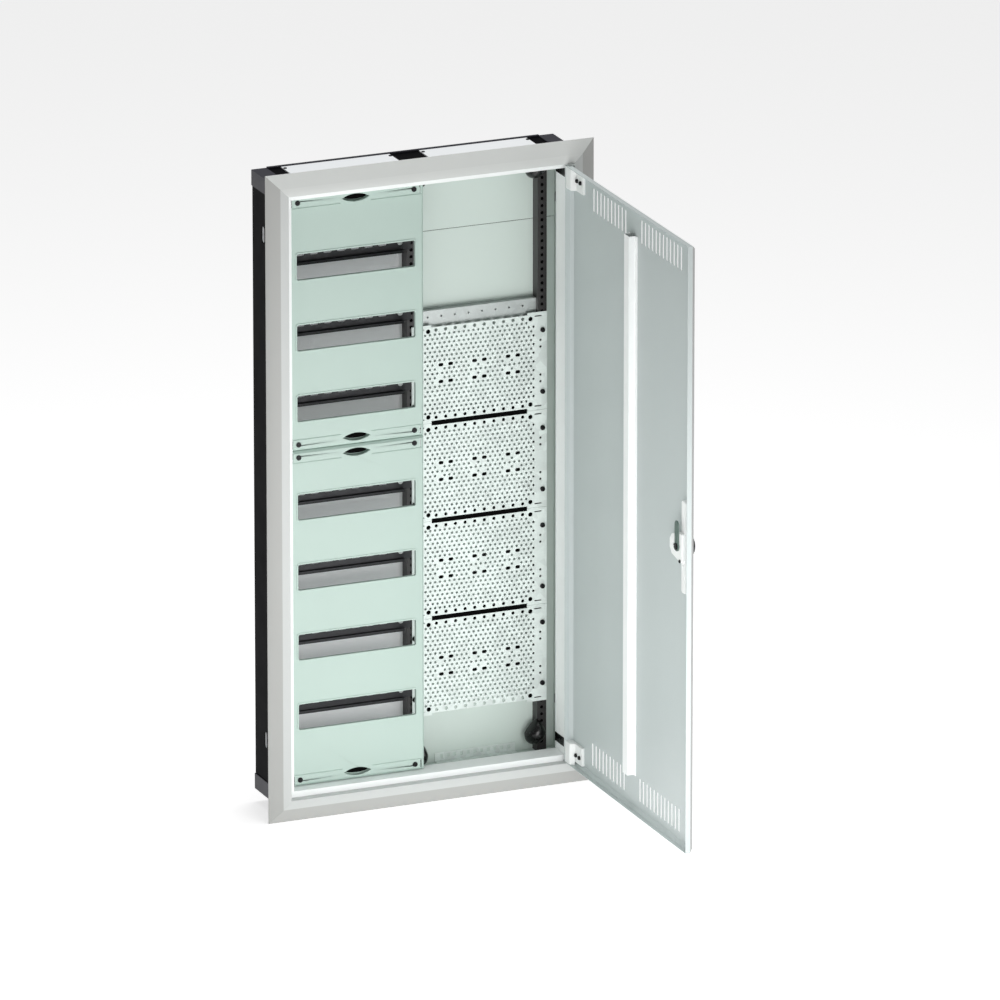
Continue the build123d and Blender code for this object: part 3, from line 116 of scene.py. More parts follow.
# Mounting plates: pitch and offsets of the oblong holes, and the corner holes' place and radius (Y).
SLOT_PITCH = 62.0 * MM
SLOT_HALF = 9.0 * MM
SLOT_ROW = 15.0 * MM
SLOT_REACH = Vector((4.5, 0.0, 3.0)) * MM
CORNER_HOLE = Vector((94.5, 4.0, 11.0)) * MM
BAR_ROUND = 0.6 * MM

# Finger pockets of the covers: place, depth, and half width and half height of the dark half-moon, a painted
# shadow.
GRIP_FROM_END = 13.0 * MM
GRIP_SILL = 4.0 * MM
GRIP_MOON = Vector((20.0, 0.0, 4.4)) * MM
GRIP_LIFT = 0.3

# Screw heads: radius and height, then shares of them.
PLATE_HEAD = (4.4 * MM, 2.2 * MM)
BRACKET_HEAD = (3.6 * MM, 1.8 * MM)
CASE_HEAD = (3.0 * MM, 2.0 * MM)
HEAD_SIDES = 24
HEAD_SUNK = 0.35
HEAD_TAPER = 0.86
HEAD_ROUND = 0.3
SOCKET_RIM = 0.34
SOCKET_LOBES = 6
SOCKET_WAIST = 0.72
SOCKET_DEPTH = 0.55

# Lock: rounding of the knob's skirt, and the case screw's offsets (its Z is a height).
SKIRT_ROUND = 5.0 * MM
CASE_SCREW = Vector((-0.2, 8.0, -24.0)) * MM

# Powder paint: noise in cells per metre, and depth of its orange peel.
PAINT_SPECULAR = 0.45
CLOUD_CELLS = 5.0
GLOSS_CELLS = 28.0
PEEL_CELLS = 620.0
PEEL_DEPTH = 0.00006
# Glow of the lining behind the covers: painted light.
LINING_PAINTED_GLOW = 0.14

# Stage, in metres; the sensor is in millimetres.
FLOOR_HALF = 40.0
FLOOR_GAP = 0.5 * MM
KEY_PLACE, KEY_WIDTH = (0.2, 0.1, 3.2), 1.6
FILL_PLACE, FILL_WIDTH = (-0.05, -1.3, -0.35), 0.9
LIGHT_AIM = 0.8
SENSOR = 36.0
VIEW_DEPTH = 200.0
AIM_AHEAD = 5.0 * MM

# Finish to material slot.
FINISHES = {}


# ---------------------------------------------------------------- settings


def length(name, description, default):
    """A size in metres."""
    return bpy.props.FloatProperty(name=name, description=description, default=default, min=0.0,
                                   subtype="DISTANCE", unit="LENGTH", precision=5)


def tint(name, description, default):
    """A colour in linear light."""
    return bpy.props.FloatVectorProperty(name=name, description=description, default=default, size=3,
                                         min=0.0, max=1.0, subtype="COLOR")


def amount(name, description, default):
    """A plain number."""
    return bpy.props.FloatProperty(name=name, description=description, default=default)


def angle(name, description, degrees):
    """An angle, given in degrees."""
    return bpy.props.FloatProperty(name=name, description=description, default=math.radians(degrees),
                                   subtype="ANGLE", unit="ROTATION")


class CabinetSizes(bpy.types.PropertyGroup):
    """Radii and widths of the details that are added to the frame."""

    fold_radius: length("Fold radius", "Outer radius of the folds of painted sheet", 0.0007)
    sheet_radius: length("Sheet edge radius", "Radius on the edges of thin sheet", 0.0003)
    mould_radius: length("Moulding radius", "Radius on the edges of moulded plastic", 0.0012)
    cover_radius: length("Cover radius", "Radius on the edges of the device covers", 0.0006)
    rim_width: length("Rim width", "Width of the raised rim around each module window", 0.0028)
    rim_rise: length("Rim rise", "How far a window rim stands above its cover", 0.0009)
    rim_corner: length("Rim corner", "Corner radius of a window rim", 0.0030)
    window_margin: length("Window margin", "From the clear opening to the window's edge", 0.0020)
    # The joint bars are painted shadow: black bars behind the plate joints.
    joint_shadow_bar_height: length("Joint bar height", "Height of the black bar behind each plate joint", 0.0252)
    joint_shadow_bar_depth: length("Joint bar depth", "Depth of the black bar behind each plate joint", 0.0040)
    strip_width: length("Nut strip width", "Width of the black nut strip inside each upright", 0.0090)
    strip_depth: length("Nut strip depth", "Thickness of nut strips and nut plates", 0.0012)
    lip_depth: length("Rear lip depth", "Depth of the lip along the top of the wall box's back", 0.0055)
    lip_rise: length("Rear lip rise", "How far the rear lip stands up", 0.0035)
    nut_lap: length("Nut lap", "How far a nut plate laps each side of its hole", 0.0005)
    skirt_radius: length("Knob skirt radius", "Radius of the round skirt under the door knob", 0.0185)
    skirt_rise: length("Knob skirt rise", "How far the skirt stands off the door", 0.0110)


class CabinetColours(bpy.types.PropertyGroup):
    """Colours of the finishes."""

    tub: tint("Tub", "Black paint of the wall box", (0.0035, 0.0035, 0.0045))
    # The trim tones are painted light and shade: the top is painted lighter than the other sides, and the
    # outer slopes darker than the flats.
    trim: tint("Trim", "Light grey paint of the flats of the trim frame's sides and foot", (0.57, 0.59, 0.58))
    trim_slope_painted_shade: tint("Trim slope", "Grey paint of the slopes of the trim frame's sides and foot",
                     (0.42, 0.425, 0.41))
    trim_top: tint("Trim top", "Light grey paint of the flat of the trim frame's top", (0.74, 0.76, 0.74))
    trim_top_slope_painted_light: tint("Trim top slope", "Light grey paint of the slope of the trim frame's top",
                         (0.71, 0.73, 0.71))
    door: tint("Door", "Light grey paint of the door's inside", (0.54, 0.595, 0.59))
    # The rim tone is painted shade on the bevel of the door's free edge.
    door_rim_painted_shade: tint("Door rim", "Grey paint on the bevel of the door's free edge", (0.40, 0.41, 0.405))
    jamb: tint("Jamb", "White paint of the inner profiles", (0.95, 0.98, 0.97))
    lining: tint("Lining", "Pale paint of the lining sheets", (0.68, 0.77, 0.72))
    cover: tint("Cover", "Moulded plastic of the device covers", (0.49, 0.61, 0.555))
    plate: tint("Plate", "Mounting plates", (0.80, 0.87, 0.84))
    zinc: tint("Zinc", "Zinc-plated steel", (0.52, 0.55, 0.54))
    rail: tint("Rail", "Dark upright rails", (0.035, 0.033, 0.033))
    din: tint("Device rail", "Top-hat rails and their seats", (0.030, 0.030, 0.034))
    white: tint("White plastic", "Lock case and hinge brackets", (0.90, 0.92, 0.91))
    black: tint("Black plastic", "Clamps, posts and knob", (0.003, 0.003, 0.003))
    screw: tint("Screw", "Blackened screws", (0.008, 0.008, 0.009))
    cap: tint("Corner angle", "Slate paint of the box's corner angles", (0.035, 0.035, 0.045))
    entry: tint("Entry plate", "Pale plates over the cable entries", (0.94, 0.97, 1.0))
    # The tone behind the covers is painted light: lighter than the lining, to lift the dim space there.
    lining_painted_light_behind_covers: tint("Shaded lining", "Tone of the lining behind the covers", (0.86, 0.87, 0.89))
    cam: tint("Lock tongue", "Dark green-grey steel of the lock's tongue", (0.10, 0.15, 0.13))
    floor: tint("Floor", "Stage floor", (0.86, 0.86, 0.86))


class CabinetStage(bpy.types.PropertyGroup):
    """Camera and lights."""

    azimuth: angle("Azimuth", "Camera angle round the cabinet, from straight in front", -22.9)
    elevation: angle("Elevation", "Camera angle above the horizontal", 17.9)
    distance: length("Distance", "From the camera to the cabinet's front", 23.0)
    scale: amount("Scale", "Image widths per metre at the wall plane", 0.589)
    aim_right: length("Aim right", "How far right of the middle the camera looks", 0.118)
    aim_down: length("Aim down", "How far below the middle the camera looks", 0.0314)
    key_power: amount("Key light", "Strength of the overhead light in watts", 58.0)
    fill_power: amount("Fill light", "Strength of the low front light in watts", 10.8)
    sky: amount("Sky", "Strength of the even white surroundings", 0.23)
    floor_glow: amount("Floor glow", "Light that the floor gives by itself", 0.63)


def settings():
    """The scene's three groups of settings."""
    scene = bpy.context.scene
    return scene.cabinet_sizes, scene.cabinet_colours, scene.cabinet_stage


# ---------------------------------------------------------------- shader helpers


class Signal:
    """A shader socket carrying a number, which sums and products can be written with."""

    def __init__(self, finish, socket):
        self.finish = finish
        self.socket = socket

    def _maths(self, operation, first, second):
        node = self.finish.node("ShaderNodeMath", {"operation": operation}, {0: first, 1: second})
        return Signal(self.finish, node.outputs[0])

    def __add__(self, other):
        return self._maths("ADD", self, other)

    def __radd__(self, other):
        return self._maths("ADD", other, self)

    def __sub__(self, other):
        return self._maths("SUBTRACT", self, other)

    def __rsub__(self, other):
        return self._maths("SUBTRACT", other, self)

    def __mul__(self, other):
        return self._maths("MULTIPLY", self, other)

    def __rmul__(self, other):
        return self._maths("MULTIPLY", other, self)

    def __gt__(self, other):
        return self._maths("GREATER_THAN", self, other)

    def __lt__(self, other):
        return self._maths("LESS_THAN", self, other)

    def __abs__(self):
        return self._maths("ABSOLUTE", self, 0.0)


class Finish:
    """A material being made: one Principled shader, and one way to add any other node."""

    def __init__(self, name, **fixed):
        self.material = bpy.data.materials.new(name)
        self.material.use_nodes = True
        self.tree = self.material.node_tree
        self.tree.nodes.clear()
        self.shader = self.node("ShaderNodeBsdfPrincipled", {}, fixed)
        self.node("ShaderNodeOutputMaterial", {}, {"Surface": Signal(self, self.shader.outputs[0])})
        self.place = Signal(self, self.node("ShaderNodeTexCoord").outputs["Object"])

    def node(self, kind, options=None, sockets=None):
        """Adds one node: its options are set first, then its sockets are filled or linked."""
        node = self.tree.nodes.new(kind)
        for key, value in (options or {}).items():
            if key == "stops":
                self._stops(node.color_ramp, value)
            else:
                setattr(node, key, value)
        for key, value in (sockets or {}).items():
            self.feed(node.inputs[key], value)
        return node

    def _stops(self, ramp, stops):
        while len(ramp.elements) > 1:
            ramp.elements.remove(ramp.elements[-1])
        for index, (position, value) in enumerate(stops):
            element = ramp.elements[0] if index == 0 else ramp.elements.new(position)
            element.position = position
            element.color = (value, value, value, 1.0)

    def feed(self, socket, value):
        """Links a signal to a socket, or sets the socket's own value."""
        if isinstance(value, Signal):
            self.tree.links.new(value.socket, socket)
        else:
            socket.default_value = value

    def axes(self):
        """The place on the surface as three numbers in metres: X, Y and Z."""
        node = self.node("ShaderNodeSeparateXYZ", {}, {"Vector": self.place})
        return [Signal(self, socket) for socket in node.outputs]

    def noise(self, scale, detail=2.0, stretch=None):
        """Noise from 0 to 1, with scale in cells per metre."""
        place = self.place
        if stretch:
            mapping = self.node("ShaderNodeMapping", {}, {"Vector": place, "Scale": stretch})
            place = Signal(self, mapping.outputs[0])
        node = self.node("ShaderNodeTexNoise", {}, {"Vector": place, "Scale": scale, "Detail": detail})
        return Signal(self, node.outputs[0])

    def cells(self, scale):
        """A random number for each cell of a crystal pattern, with scale in cells per metre."""
        node = self.node("ShaderNodeTexVoronoi", {}, {"Vector": self.place, "Scale": scale})
        grey = self.node("ShaderNodeSeparateColor", {}, {"Color": Signal(self, node.outputs["Color"])})
        return Signal(self, grey.outputs[0])

    def ramp(self, signal, stops):
        """Reshapes a number by grey stops."""
        node = self.node("ShaderNodeValToRGB", {"stops": stops}, {0: signal})
        return Signal(self, node.outputs[0])

    def blend(self, share, first, second):
        """Mixes two colours."""
        node = self.node("ShaderNodeMix", {"data_type": "RGBA"},
                         {0: share, 6: (*first, 1.0), 7: (*second, 1.0)})
        return Signal(self, node.outputs[2])

    def bump(self, height, depth, strength=1.0):
        """Raises the surface by a height signal."""
        node = self.node("ShaderNodeBump", {}, {"Height": height, "Distance": depth, "Strength": strength})
        self.feed(self.shader.inputs["Normal"], Signal(self, node.outputs[0]))

    def paint(self, share, dark, light):
        """Sets the base colour between two tones."""
        self.feed(self.shader.inputs["Base Color"], self.blend(share, dark, light))

    def rough(self, signal, low, high):
        """Sets the roughness between two limits."""
        self.feed(self.shader.inputs["Roughness"], signal * (high - low) + low)


def shade(colour, factor):
    """A colour made lighter or darker."""
    return tuple(min(1.0, c * factor) for c in colour)


def clouds(finish):
    """The faint clouding of powder paint."""
    return finish.noise(CLOUD_CELLS, detail=3.0)


def powder_skin(finish, low=0.34, high=0.46, depth=PEEL_DEPTH, strength=0.55):
    """The uneven gloss and the orange peel of powder paint."""
    finish.rough(finish.noise(GLOSS_CELLS, detail=3.0), low, high)
    finish.bump(finish.noise(PEEL_CELLS, detail=1.5), depth, strength)


def powder_coat(name, colour, low=0.34, high=0.46, gloss=PAINT_SPECULAR):
    """Baked powder paint in one tone."""
    finish = Finish(name, **{"Specular IOR Level": gloss})
    finish.paint(clouds(finish), shade(colour, 0.965), shade(colour, 1.035))
    powder_skin(finish, low, high)
    return finish.material


def trim_paint(name, flat, slope):
    """Powder paint of the trim frame: one tone on its flats and a darker one on its outer slopes, painted
    shade for slopes that face away from the light.
    """
    finish = Finish(name, **{"Specular IOR Level": PAINT_SPECULAR})
    across, _, up = finish.axes()
    # Masks of the outer slopes, which get the darker tone: painted shade.
    sides = abs(across) > CAD_BOX[1][0] - TRIM_SLOPE
    ends = abs(up) > CAD_BOX[1][2] - TRIM_SLOPE
    finish.paint(sides + ends - sides * ends + clouds(finish) * 0.12, flat, slope)
    powder_skin(finish)
    return finish.material


def door_paint(name, inside, rim_painted_shade):
    """Powder paint of the door, with a darker tone on the bevel of its free edge: painted shade."""
    finish = Finish(name, **{"Specular IOR Level": PAINT_SPECULAR})
    across, deep, _ = finish.axes()
    low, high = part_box("door_panel")
    # Mask of the free edge's bevel, which gets the darker tone: painted shade.
    outer = across > high.x - DOOR_BEVEL
    rim = low.y + DOOR_BEVEL > deep
    finish.paint(outer * rim * 0.94 + clouds(finish) * 0.06, inside, rim_painted_shade)
    powder_skin(finish)
    return finish.material


def lining_paint(name, colour, lining_painted_light_behind_covers):
    """Pale paint; behind the covers it is painted lighter and cooler and glows a little, painted light for
    the dim space there.
    """
    finish = Finish(name, **{"Specular IOR Level": 0.4, "Emission Strength": LINING_PAINTED_GLOW})
    across, _, _ = finish.axes()
    open_field = finish.ramp(across * 4.0 + 0.5, ((0.44, 0.0), (0.56, 1.0)))
    finish.paint(open_field, lining_painted_light_behind_covers, colour)
    # The glow behind the covers is painted light; the lining is no lamp.
    finish.feed(finish.shader.inputs["Emission Color"], 1 - open_field)
    powder_skin(finish, 0.36, 0.5, 0.00005, 0.5)
    return finish.material


def moulded(name, colour, low, high):
    """Moulded plastic with a fine spark-eroded grain."""
    finish = Finish(name, **{"Specular IOR Level": 0.5})
    finish.paint(finish.noise(9.0, detail=2.0), shade(colour, 0.98), shade(colour, 1.02))
    finish.rough(finish.noise(60.0, detail=2.0), low, high)
    finish.bump(finish.noise(1500.0, detail=2.0), 0.00003, 0.6)
    return finish.material


def zinc_plate(name, colour, metallic=0.75, spangle=90.0):
    """Zinc-plated steel: crystal spangle in tone and gloss, and light scratches."""
    finish = Finish(name, **{"Metallic": metallic})
    crystals = finish.cells(spangle)
    scratches = finish.noise(40.0, detail=4.0, stretch=(1.0, 1.0, 14.0))
    share = crystals * 0.6 + scratches * 0.4
    finish.paint(share, shade(colour, 0.86), shade(colour, 1.10))
    finish.rough(share, 0.34, 0.58)
    finish.bump(scratches, 0.00004, 0.5)
    return finish.material


def blackened(name, colour):
    """Blackened screw steel."""
    finish = Finish(name, **{"Metallic": 0.6})
    grit = finish.noise(900.0, detail=2.0)
    finish.paint(grit, shade(colour, 0.8), shade(colour, 1.5))
    finish.rough(grit, 0.32, 0.5)
    finish.bump(grit, 0.00003, 0.5)
    return finish.material


def finishes():
    """Every finish by name, made once."""
    if "tub" not in FINISHES:
        _, colour, _ = settings()
        FINISHES["tub"] = powder_coat("tub_paint", colour.tub, 0.5, 0.65, gloss=0.03)
        FINISHES["cap"] = powder_coat("corner_paint", colour.cap, 0.4, 0.55, gloss=0.3)
        FINISHES["entry"] = powder_coat("entry_plate_paint", colour.entry)
        FINISHES["trim"] = trim_paint("trim_paint", colour.trim, colour.trim_slope_painted_shade)
        FINISHES["trim_top"] = trim_paint("trim_top_paint", colour.trim_top, colour.trim_top_slope_painted_light)
        FINISHES["door"] = door_paint("door_paint", colour.door, colour.door_rim_painted_shade)
        FINISHES["jamb"] = powder_coat("jamb_paint", colour.jamb)
        FINISHES["lining"] = lining_paint("lining_paint", colour.lining, colour.lining_painted_light_behind_covers)
        FINISHES["rail"] = powder_coat("rail_paint", colour.rail, 0.3, 0.42)
        FINISHES["cover"] = moulded("cover_plastic", colour.cover, 0.4, 0.52)
        FINISHES["white"] = moulded("white_plastic", colour.white, 0.26, 0.36)
        FINISHES["black"] = moulded("black_plastic", colour.black, 0.2, 0.32)
        # Matt black for nuts and for the pieces that stand in for shade: painted shade.
        FINISHES["nut"] = powder_coat("matt_black_paint", colour.black, 0.7, 0.8, gloss=0.02)
        FINISHES["plate"] = zinc_plate("plate_zinc", colour.plate, 0.15, 70.0)
        FINISHES["zinc"] = zinc_plate("bare_zinc", colour.zinc)
        FINISHES["din"] = zinc_plate("device_rail_zinc", colour.din, 0.3, 140.0)
        FINISHES["cam"] = zinc_plate("tongue_steel", colour.cam, 0.2, 140.0)
        FINISHES["screw"] = blackened("screw_black", colour.screw)
    return FINISHES


# ---------------------------------------------------------------- mesh helpers


def add_piece(name, bm, body, finish, smooth_deg=32.0, soft_faces=False):
    """Turns a bmesh into a piece that rides on a body and wears a finish."""
    mesh = bpy.data.meshes.new(name)
    limit = math.radians(smooth_deg)
    for face in bm.faces:
        face.smooth = True
    for edge in bm.edges:
        edge.smooth = edge.is_manifold and edge.calc_face_angle(0.0) < limit
    bm.to_mesh(mesh)
    bm.free()
    piece = bpy.data.objects.new(name, mesh)
    bpy.context.scene.collection.objects.link(piece)
    mesh.materials.append(finishes()[finish])
    if soft_faces:
        weighted = piece.modifiers.new("Even shading", "WEIGHTED_NORMAL")
        weighted.keep_sharp = True
    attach(piece, body)
    return piece


def body_of(node):
    """The body that a CAD node rides on."""
    return frame["nodes"][node]["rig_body"]


def soften(node, radius, finish, segments=2, join_flats=True):
    """A copy of a CAD node with its sharp edges rounded, shown in place of the node."""
    bm = bmesh.new()
    bm.from_mesh(frame["nodes"][node].data)
    bmesh.ops.remove_doubles(bm, verts=bm.verts, dist=MERGE)
    if join_flats:
        bmesh.ops.dissolve_limit(bm, angle_limit=math.radians(FLAT_DEG), verts=bm.verts, edges=bm.edges)
    limit = math.radians(SHARP_DEG)
    edges = [e for e in bm.edges if e.is_manifold and e.calc_face_angle(0.0) > limit]
    bmesh.ops.bevel(bm, geom=edges, offset=radius, offset_type="OFFSET", segments=segments, profile=0.5,
                    affect="EDGES", material=-1, clamp_overlap=False, loop_slide=True)
    bmesh.ops.remove_doubles(bm, verts=bm.verts, dist=MERGE)
    piece = add_piece(node + "_finished", bm, body_of(node), finish, 50.0, True)
    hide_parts(node)
    return piece


def dress(node, finish):
    """Gives a CAD node a finish and leaves its shape alone."""
    source = frame["nodes"][node]
    source.data.materials.clear()
    source.data.materials.append(finishes()[finish])


def islands(node):
    """The lowest and highest corner of each separate solid of a CAD node."""
    bm = bmesh.new()
    bm.from_mesh(frame["nodes"][node].data)
    bmesh.ops.remove_doubles(bm, verts=bm.verts, dist=MERGE)
    left = set(bm.verts)
    boxes = []
    while left:
        stack = [left.pop()]
        low = stack[0].co.copy()
        high = stack[0].co.copy()
        while stack:
            vert = stack.pop()
            low = Vector(map(min, low, vert.co))
            high = Vector(map(max, high, vert.co))
            for edge in vert.link_edges:
                other = edge.other_vert(vert)
                if other in left:
                    left.remove(other)
                    stack.append(other)
        boxes.append((low, high))
    bm.free()
    return sorted(boxes, key=lambda pair: (round(pair[0].z, 4), round(pair[0].x, 4), round(pair[0].y, 4)))


def turn_onto(axis):
    """Turns +Z onto an axis."""
    return Vector((0.0, 0.0, 1.0)).rotation_difference(Vector(axis)).to_matrix().to_4x4()


def add_ring(bm, centre, width, height, band, rise, corner):
    """A flat ring with rounded corners facing -Y, standing up from the plane through its centre."""
    made = bmesh.ops.create_grid(bm, x_segments=1, y_segments=1, size=0.5)
    verts = made["verts"]
    bmesh.ops.scale(bm, verts=verts, vec=(width + 2 * band, height + 2 * band, 1.0))
    bmesh.ops.rotate(bm, verts=verts, cent=(0, 0, 0), matrix=Matrix.Rotation(math.radians(90), 3, "X"))
    bmesh.ops.translate(bm, verts=verts, vec=centre)
    rounded = bmesh.ops.bevel(bm, geom=verts, offset=corner + band, offset_type="OFFSET", segments=5,
                              profile=0.5, affect="VERTICES", material=-1)
    face = rounded["verts"][0].link_faces[0]
    bmesh.ops.inset_region(bm, faces=[face], thickness=band, depth=0.0, use_boundary=True,
                           use_even_offset=True)
    ring = dict.fromkeys(f for v in face.verts for f in v.link_faces if f is not face)
    bmesh.ops.delete(bm, geom=[face], context="FACES_ONLY")
    grown = bmesh.ops.extrude_face_region(bm, geom=list(ring))
    fresh = [g for g in grown["geom"] if isinstance(g, bmesh.types.BMVert)]
    bmesh.ops.translate(bm, verts=fresh, vec=(0, -rise, 0))
    top = [g for g in grown["geom"] if isinstance(g, bmesh.types.BMFace)]
    rims = dict.fromkeys(e for f in top for e in f.edges if any(n not in top for n in e.link_faces))
    bmesh.ops.bevel(bm, geom=list(rims), offset=rise * 0.45, offset_type="OFFSET", segments=2,
                    profile=0.5, affect="EDGES", material=-1)
    bmesh.ops.recalc_face_normals(bm, faces=bm.faces)


def add_pan_head(bm, centre, axis, radius, height):
    """A low round screw head with a six-lobe socket."""
    place = Matrix.Translation(centre) @ turn_onto(axis)
    made = bmesh.ops.create_cone(bm, cap_ends=True, segments=HEAD_SIDES, radius1=radius,
                                 radius2=radius * HEAD_TAPER, depth=height,
                                 matrix=place @ Matrix.Translation((0, 0, height / 2)))
    faces = {f for v in made["verts"] for f in v.link_faces}
    outward = Vector(axis)
    top = max(faces, key=lambda f: f.calc_center_median().dot(outward))
    rim = bmesh.ops.bevel(bm, geom=list(top.edges), offset=height * HEAD_ROUND, offset_type="OFFSET",
                          segments=3, profile=0.5, affect="EDGES", material=-1)
    faces = {f for v in rim["verts"] for f in v.link_faces if len(f.verts) == HEAD_SIDES}
    top = max(faces, key=lambda f: f.calc_center_median().dot(outward))
    bmesh.ops.inset_region(bm, faces=[top], thickness=radius * SOCKET_RIM, depth=0.0)
    middle = top.calc_center_median()
    for index, vert in enumerate(top.verts):
        lobe = 0.5 + 0.5 * math.cos(index * math.tau * SOCKET_LOBES / HEAD_SIDES)
        vert.co = middle + (vert.co - middle) * (SOCKET_WAIST + (1.0 - SOCKET_WAIST) * lobe)
    bmesh.ops.inset_region(bm, faces=[top], thickness=radius * 0.02, depth=-height * SOCKET_DEPTH)


def add_block(bm, low, high, radius=0.0):
    """A block between two corners, with its edges rounded where a radius is given."""
    made = bmesh.ops.create_cube(bm, size=1.0)
    low, high = Vector(low), Vector(high)
    bmesh.ops.scale(bm, verts=made["verts"], vec=high - low)
    bmesh.ops.translate(bm, verts=made["verts"], vec=(low + high) / 2)
    if radius:
        edges = dict.fromkeys(e for v in made["verts"] for e in v.link_edges)
        bmesh.ops.bevel(bm, geom=list(edges), offset=radius, offset_type="OFFSET", segments=2, profile=0.5,
                        affect="EDGES", material=-1)


def add_disc(bm, centre, axis, radius, height, segments):
    """A round disc standing on a centre."""
    place = Matrix.Translation(centre) @ turn_onto(axis)
    return bmesh.ops.create_cone(bm, cap_ends=True, segments=segments, radius1=radius, radius2=radius,
                                 depth=height, matrix=place @ Matrix.Translation((0, 0, height / 2)))


def screw_heads(name, node, axis, size):
    """A head on each screw of a CAD node, standing at the CAD head's outer end."""
    radius, height = size
    sunk = height * HEAD_SUNK
    direction = Vector(axis)
    bm = bmesh.new()
    for low, high in islands(node):
        reach = abs((high - low).dot(direction)) / 2
        add_pan_head(bm, (low + high) / 2 + direction * (reach - sunk), axis, radius, height + sunk)
    return add_piece(name, bm, body_of(node), "screw")


# ---------------------------------------------------------------- operators


class CABINET_OT_tub(bpy.types.Operator):
    """Finishes the wall box, its corner angles, the cable entry plates and the wall anchors"""

    bl_idname = "cabinet.tub"
    bl_label = "Wall box"

    def execute(self, context):
        size, _, _ = settings()
        soften("wall_box", size.fold_radius, "tub")
        soften("box_corner_caps", size.sheet_radius, "cap")
        soften("cable_entry_plates", size.sheet_radius, "entry")
        soften("trim_fixing_blocks", size.mould_radius / 2, "black")
        soften("masonry_anchors", size.sheet_radius, "zinc")
        dress("entry_plate_screws", "screw")
        low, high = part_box("wall_box")
        lip = bmesh.new()
        add_block(lip, (low.x + LIP_INSET, high.y - size.lip_depth, high.z),
                  (high.x - LIP_INSET, high.y, high.z + size.lip_rise), size.sheet_radius)
        add_piece("rear_lip", lip, "cabinet", "cap")
        return {"FINISHED"}


class CABINET_OT_trim(bpy.types.Operator):
    """Finishes the four mitred sides of the trim frame"""

    bl_idname = "cabinet.trim"
    bl_label = "Trim frame"

    def execute(self, context):
        size, _, _ = settings()
        for side in TRIM_SIDES:
            # The top side wears a lighter paint than the other three: painted light.
            soften("trim_frame_" + side, size.sheet_radius, "trim_top" if side == "top" else "trim")
        return {"FINISHED"}


class CABINET_OT_jambs(bpy.types.Operator):
    """Finishes the inner profiles and their plastic sleeves"""

    bl_idname = "cabinet.jambs"
    bl_label = "Inner profiles"

    def execute(self, context):
        size, _, _ = settings()
        for side in ("left", "right", "head", "sill"):
            soften("jamb_" + side, size.fold_radius * 0.8, "jamb")
        soften("hinge_jamb_blocks", size.sheet_radius, "black")
        return {"FINISHED"}


class CABINET_OT_lining(bpy.types.Operator):
    """Finishes the lining sheets at the back, the sides and the floor"""

    bl_idname = "cabinet.lining"
    bl_label = "Lining"

    def execute(self, context):
        size, _, _ = settings()
        for node in ("back_panel_upper", "back_panel_lower", "side_panels", "floor_panel"):
            soften(node, size.sheet_radius, "lining")
        return {"FINISHED"}


class CABINET_OT_rails(bpy.types.Operator):
    """Finishes the uprights, the cross rail, the device rails and the clamps"""

    bl_idname = "cabinet.rails"
    bl_label = "Rails"

    def execute(self, context):
        size, _, _ = settings()
        # Matt black nut strips inside the uprights; they also stand in for the shade seen through the rail
        # holes: painted shade.
        strips = bmesh.new()
        for side in ("left", "middle", "right"):
            node = "mounting_rail_" + side
            soften(node, size.sheet_radius, "rail", 1)
            low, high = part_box(node)
            middle = (low.x + high.x) / 2
            face = low.y + RAIL_SHEET
            add_block(strips, (middle - size.strip_width / 2, face, low.z + END_GAP),
                      (middle + size.strip_width / 2, face + size.strip_depth, high.z - END_GAP))
        add_piece("rail_nut_strips", strips, "cabinet", "nut")
        soften("cross_rail", size.sheet_radius, "zinc")
        for index in range(len(WINDOWS)):
            soften(f"din_rail_{index + 1}", size.sheet_radius * 0.8, "din", 1)
        soften("din_rail_seats", size.sheet_radius, "din", 1)
        dress("din_rail_screws", "zinc")
        self.clamps()
        soften("cover_posts", size.sheet_radius, "black")
        return {"FINISHED"}

    def clamps(self):
        """Drop-shaped clamps with a flat back, narrow at the top and leaning to one side."""
        bm = bmesh.new()
        for low, high in islands("rail_clamps"):
            middle = (low + high) / 2
            half = (high - low) / 2
            lean = -1.0 if middle.x > MIDDLE_FIELD else 1.0
            drop = bmesh.ops.create_uvsphere(bm, u_segments=32, v_segments=20, radius=1.0)["verts"]
            for vert in drop:
                up = vert.co.z
                wide = CLAMP_BELLY * (1.0 - CLAMP_TAPER * max(0.0, up))
                vert.co.x = max(-1.0, min(1.0, vert.co.x * wide + lean * up * CLAMP_LEAN))
                vert.co.y = min(vert.co.y * 2.0 + 1.0, 1.0)
            bmesh.ops.scale(bm, verts=drop, vec=half)
            bmesh.ops.translate(bm, verts=drop, vec=middle)
        bmesh.ops.remove_doubles(bm, verts=bm.verts, dist=MERGE)
        piece = add_piece("rail_clamps_finished", bm, "cabinet", "black", 60.0)
        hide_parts("rail_clamps")


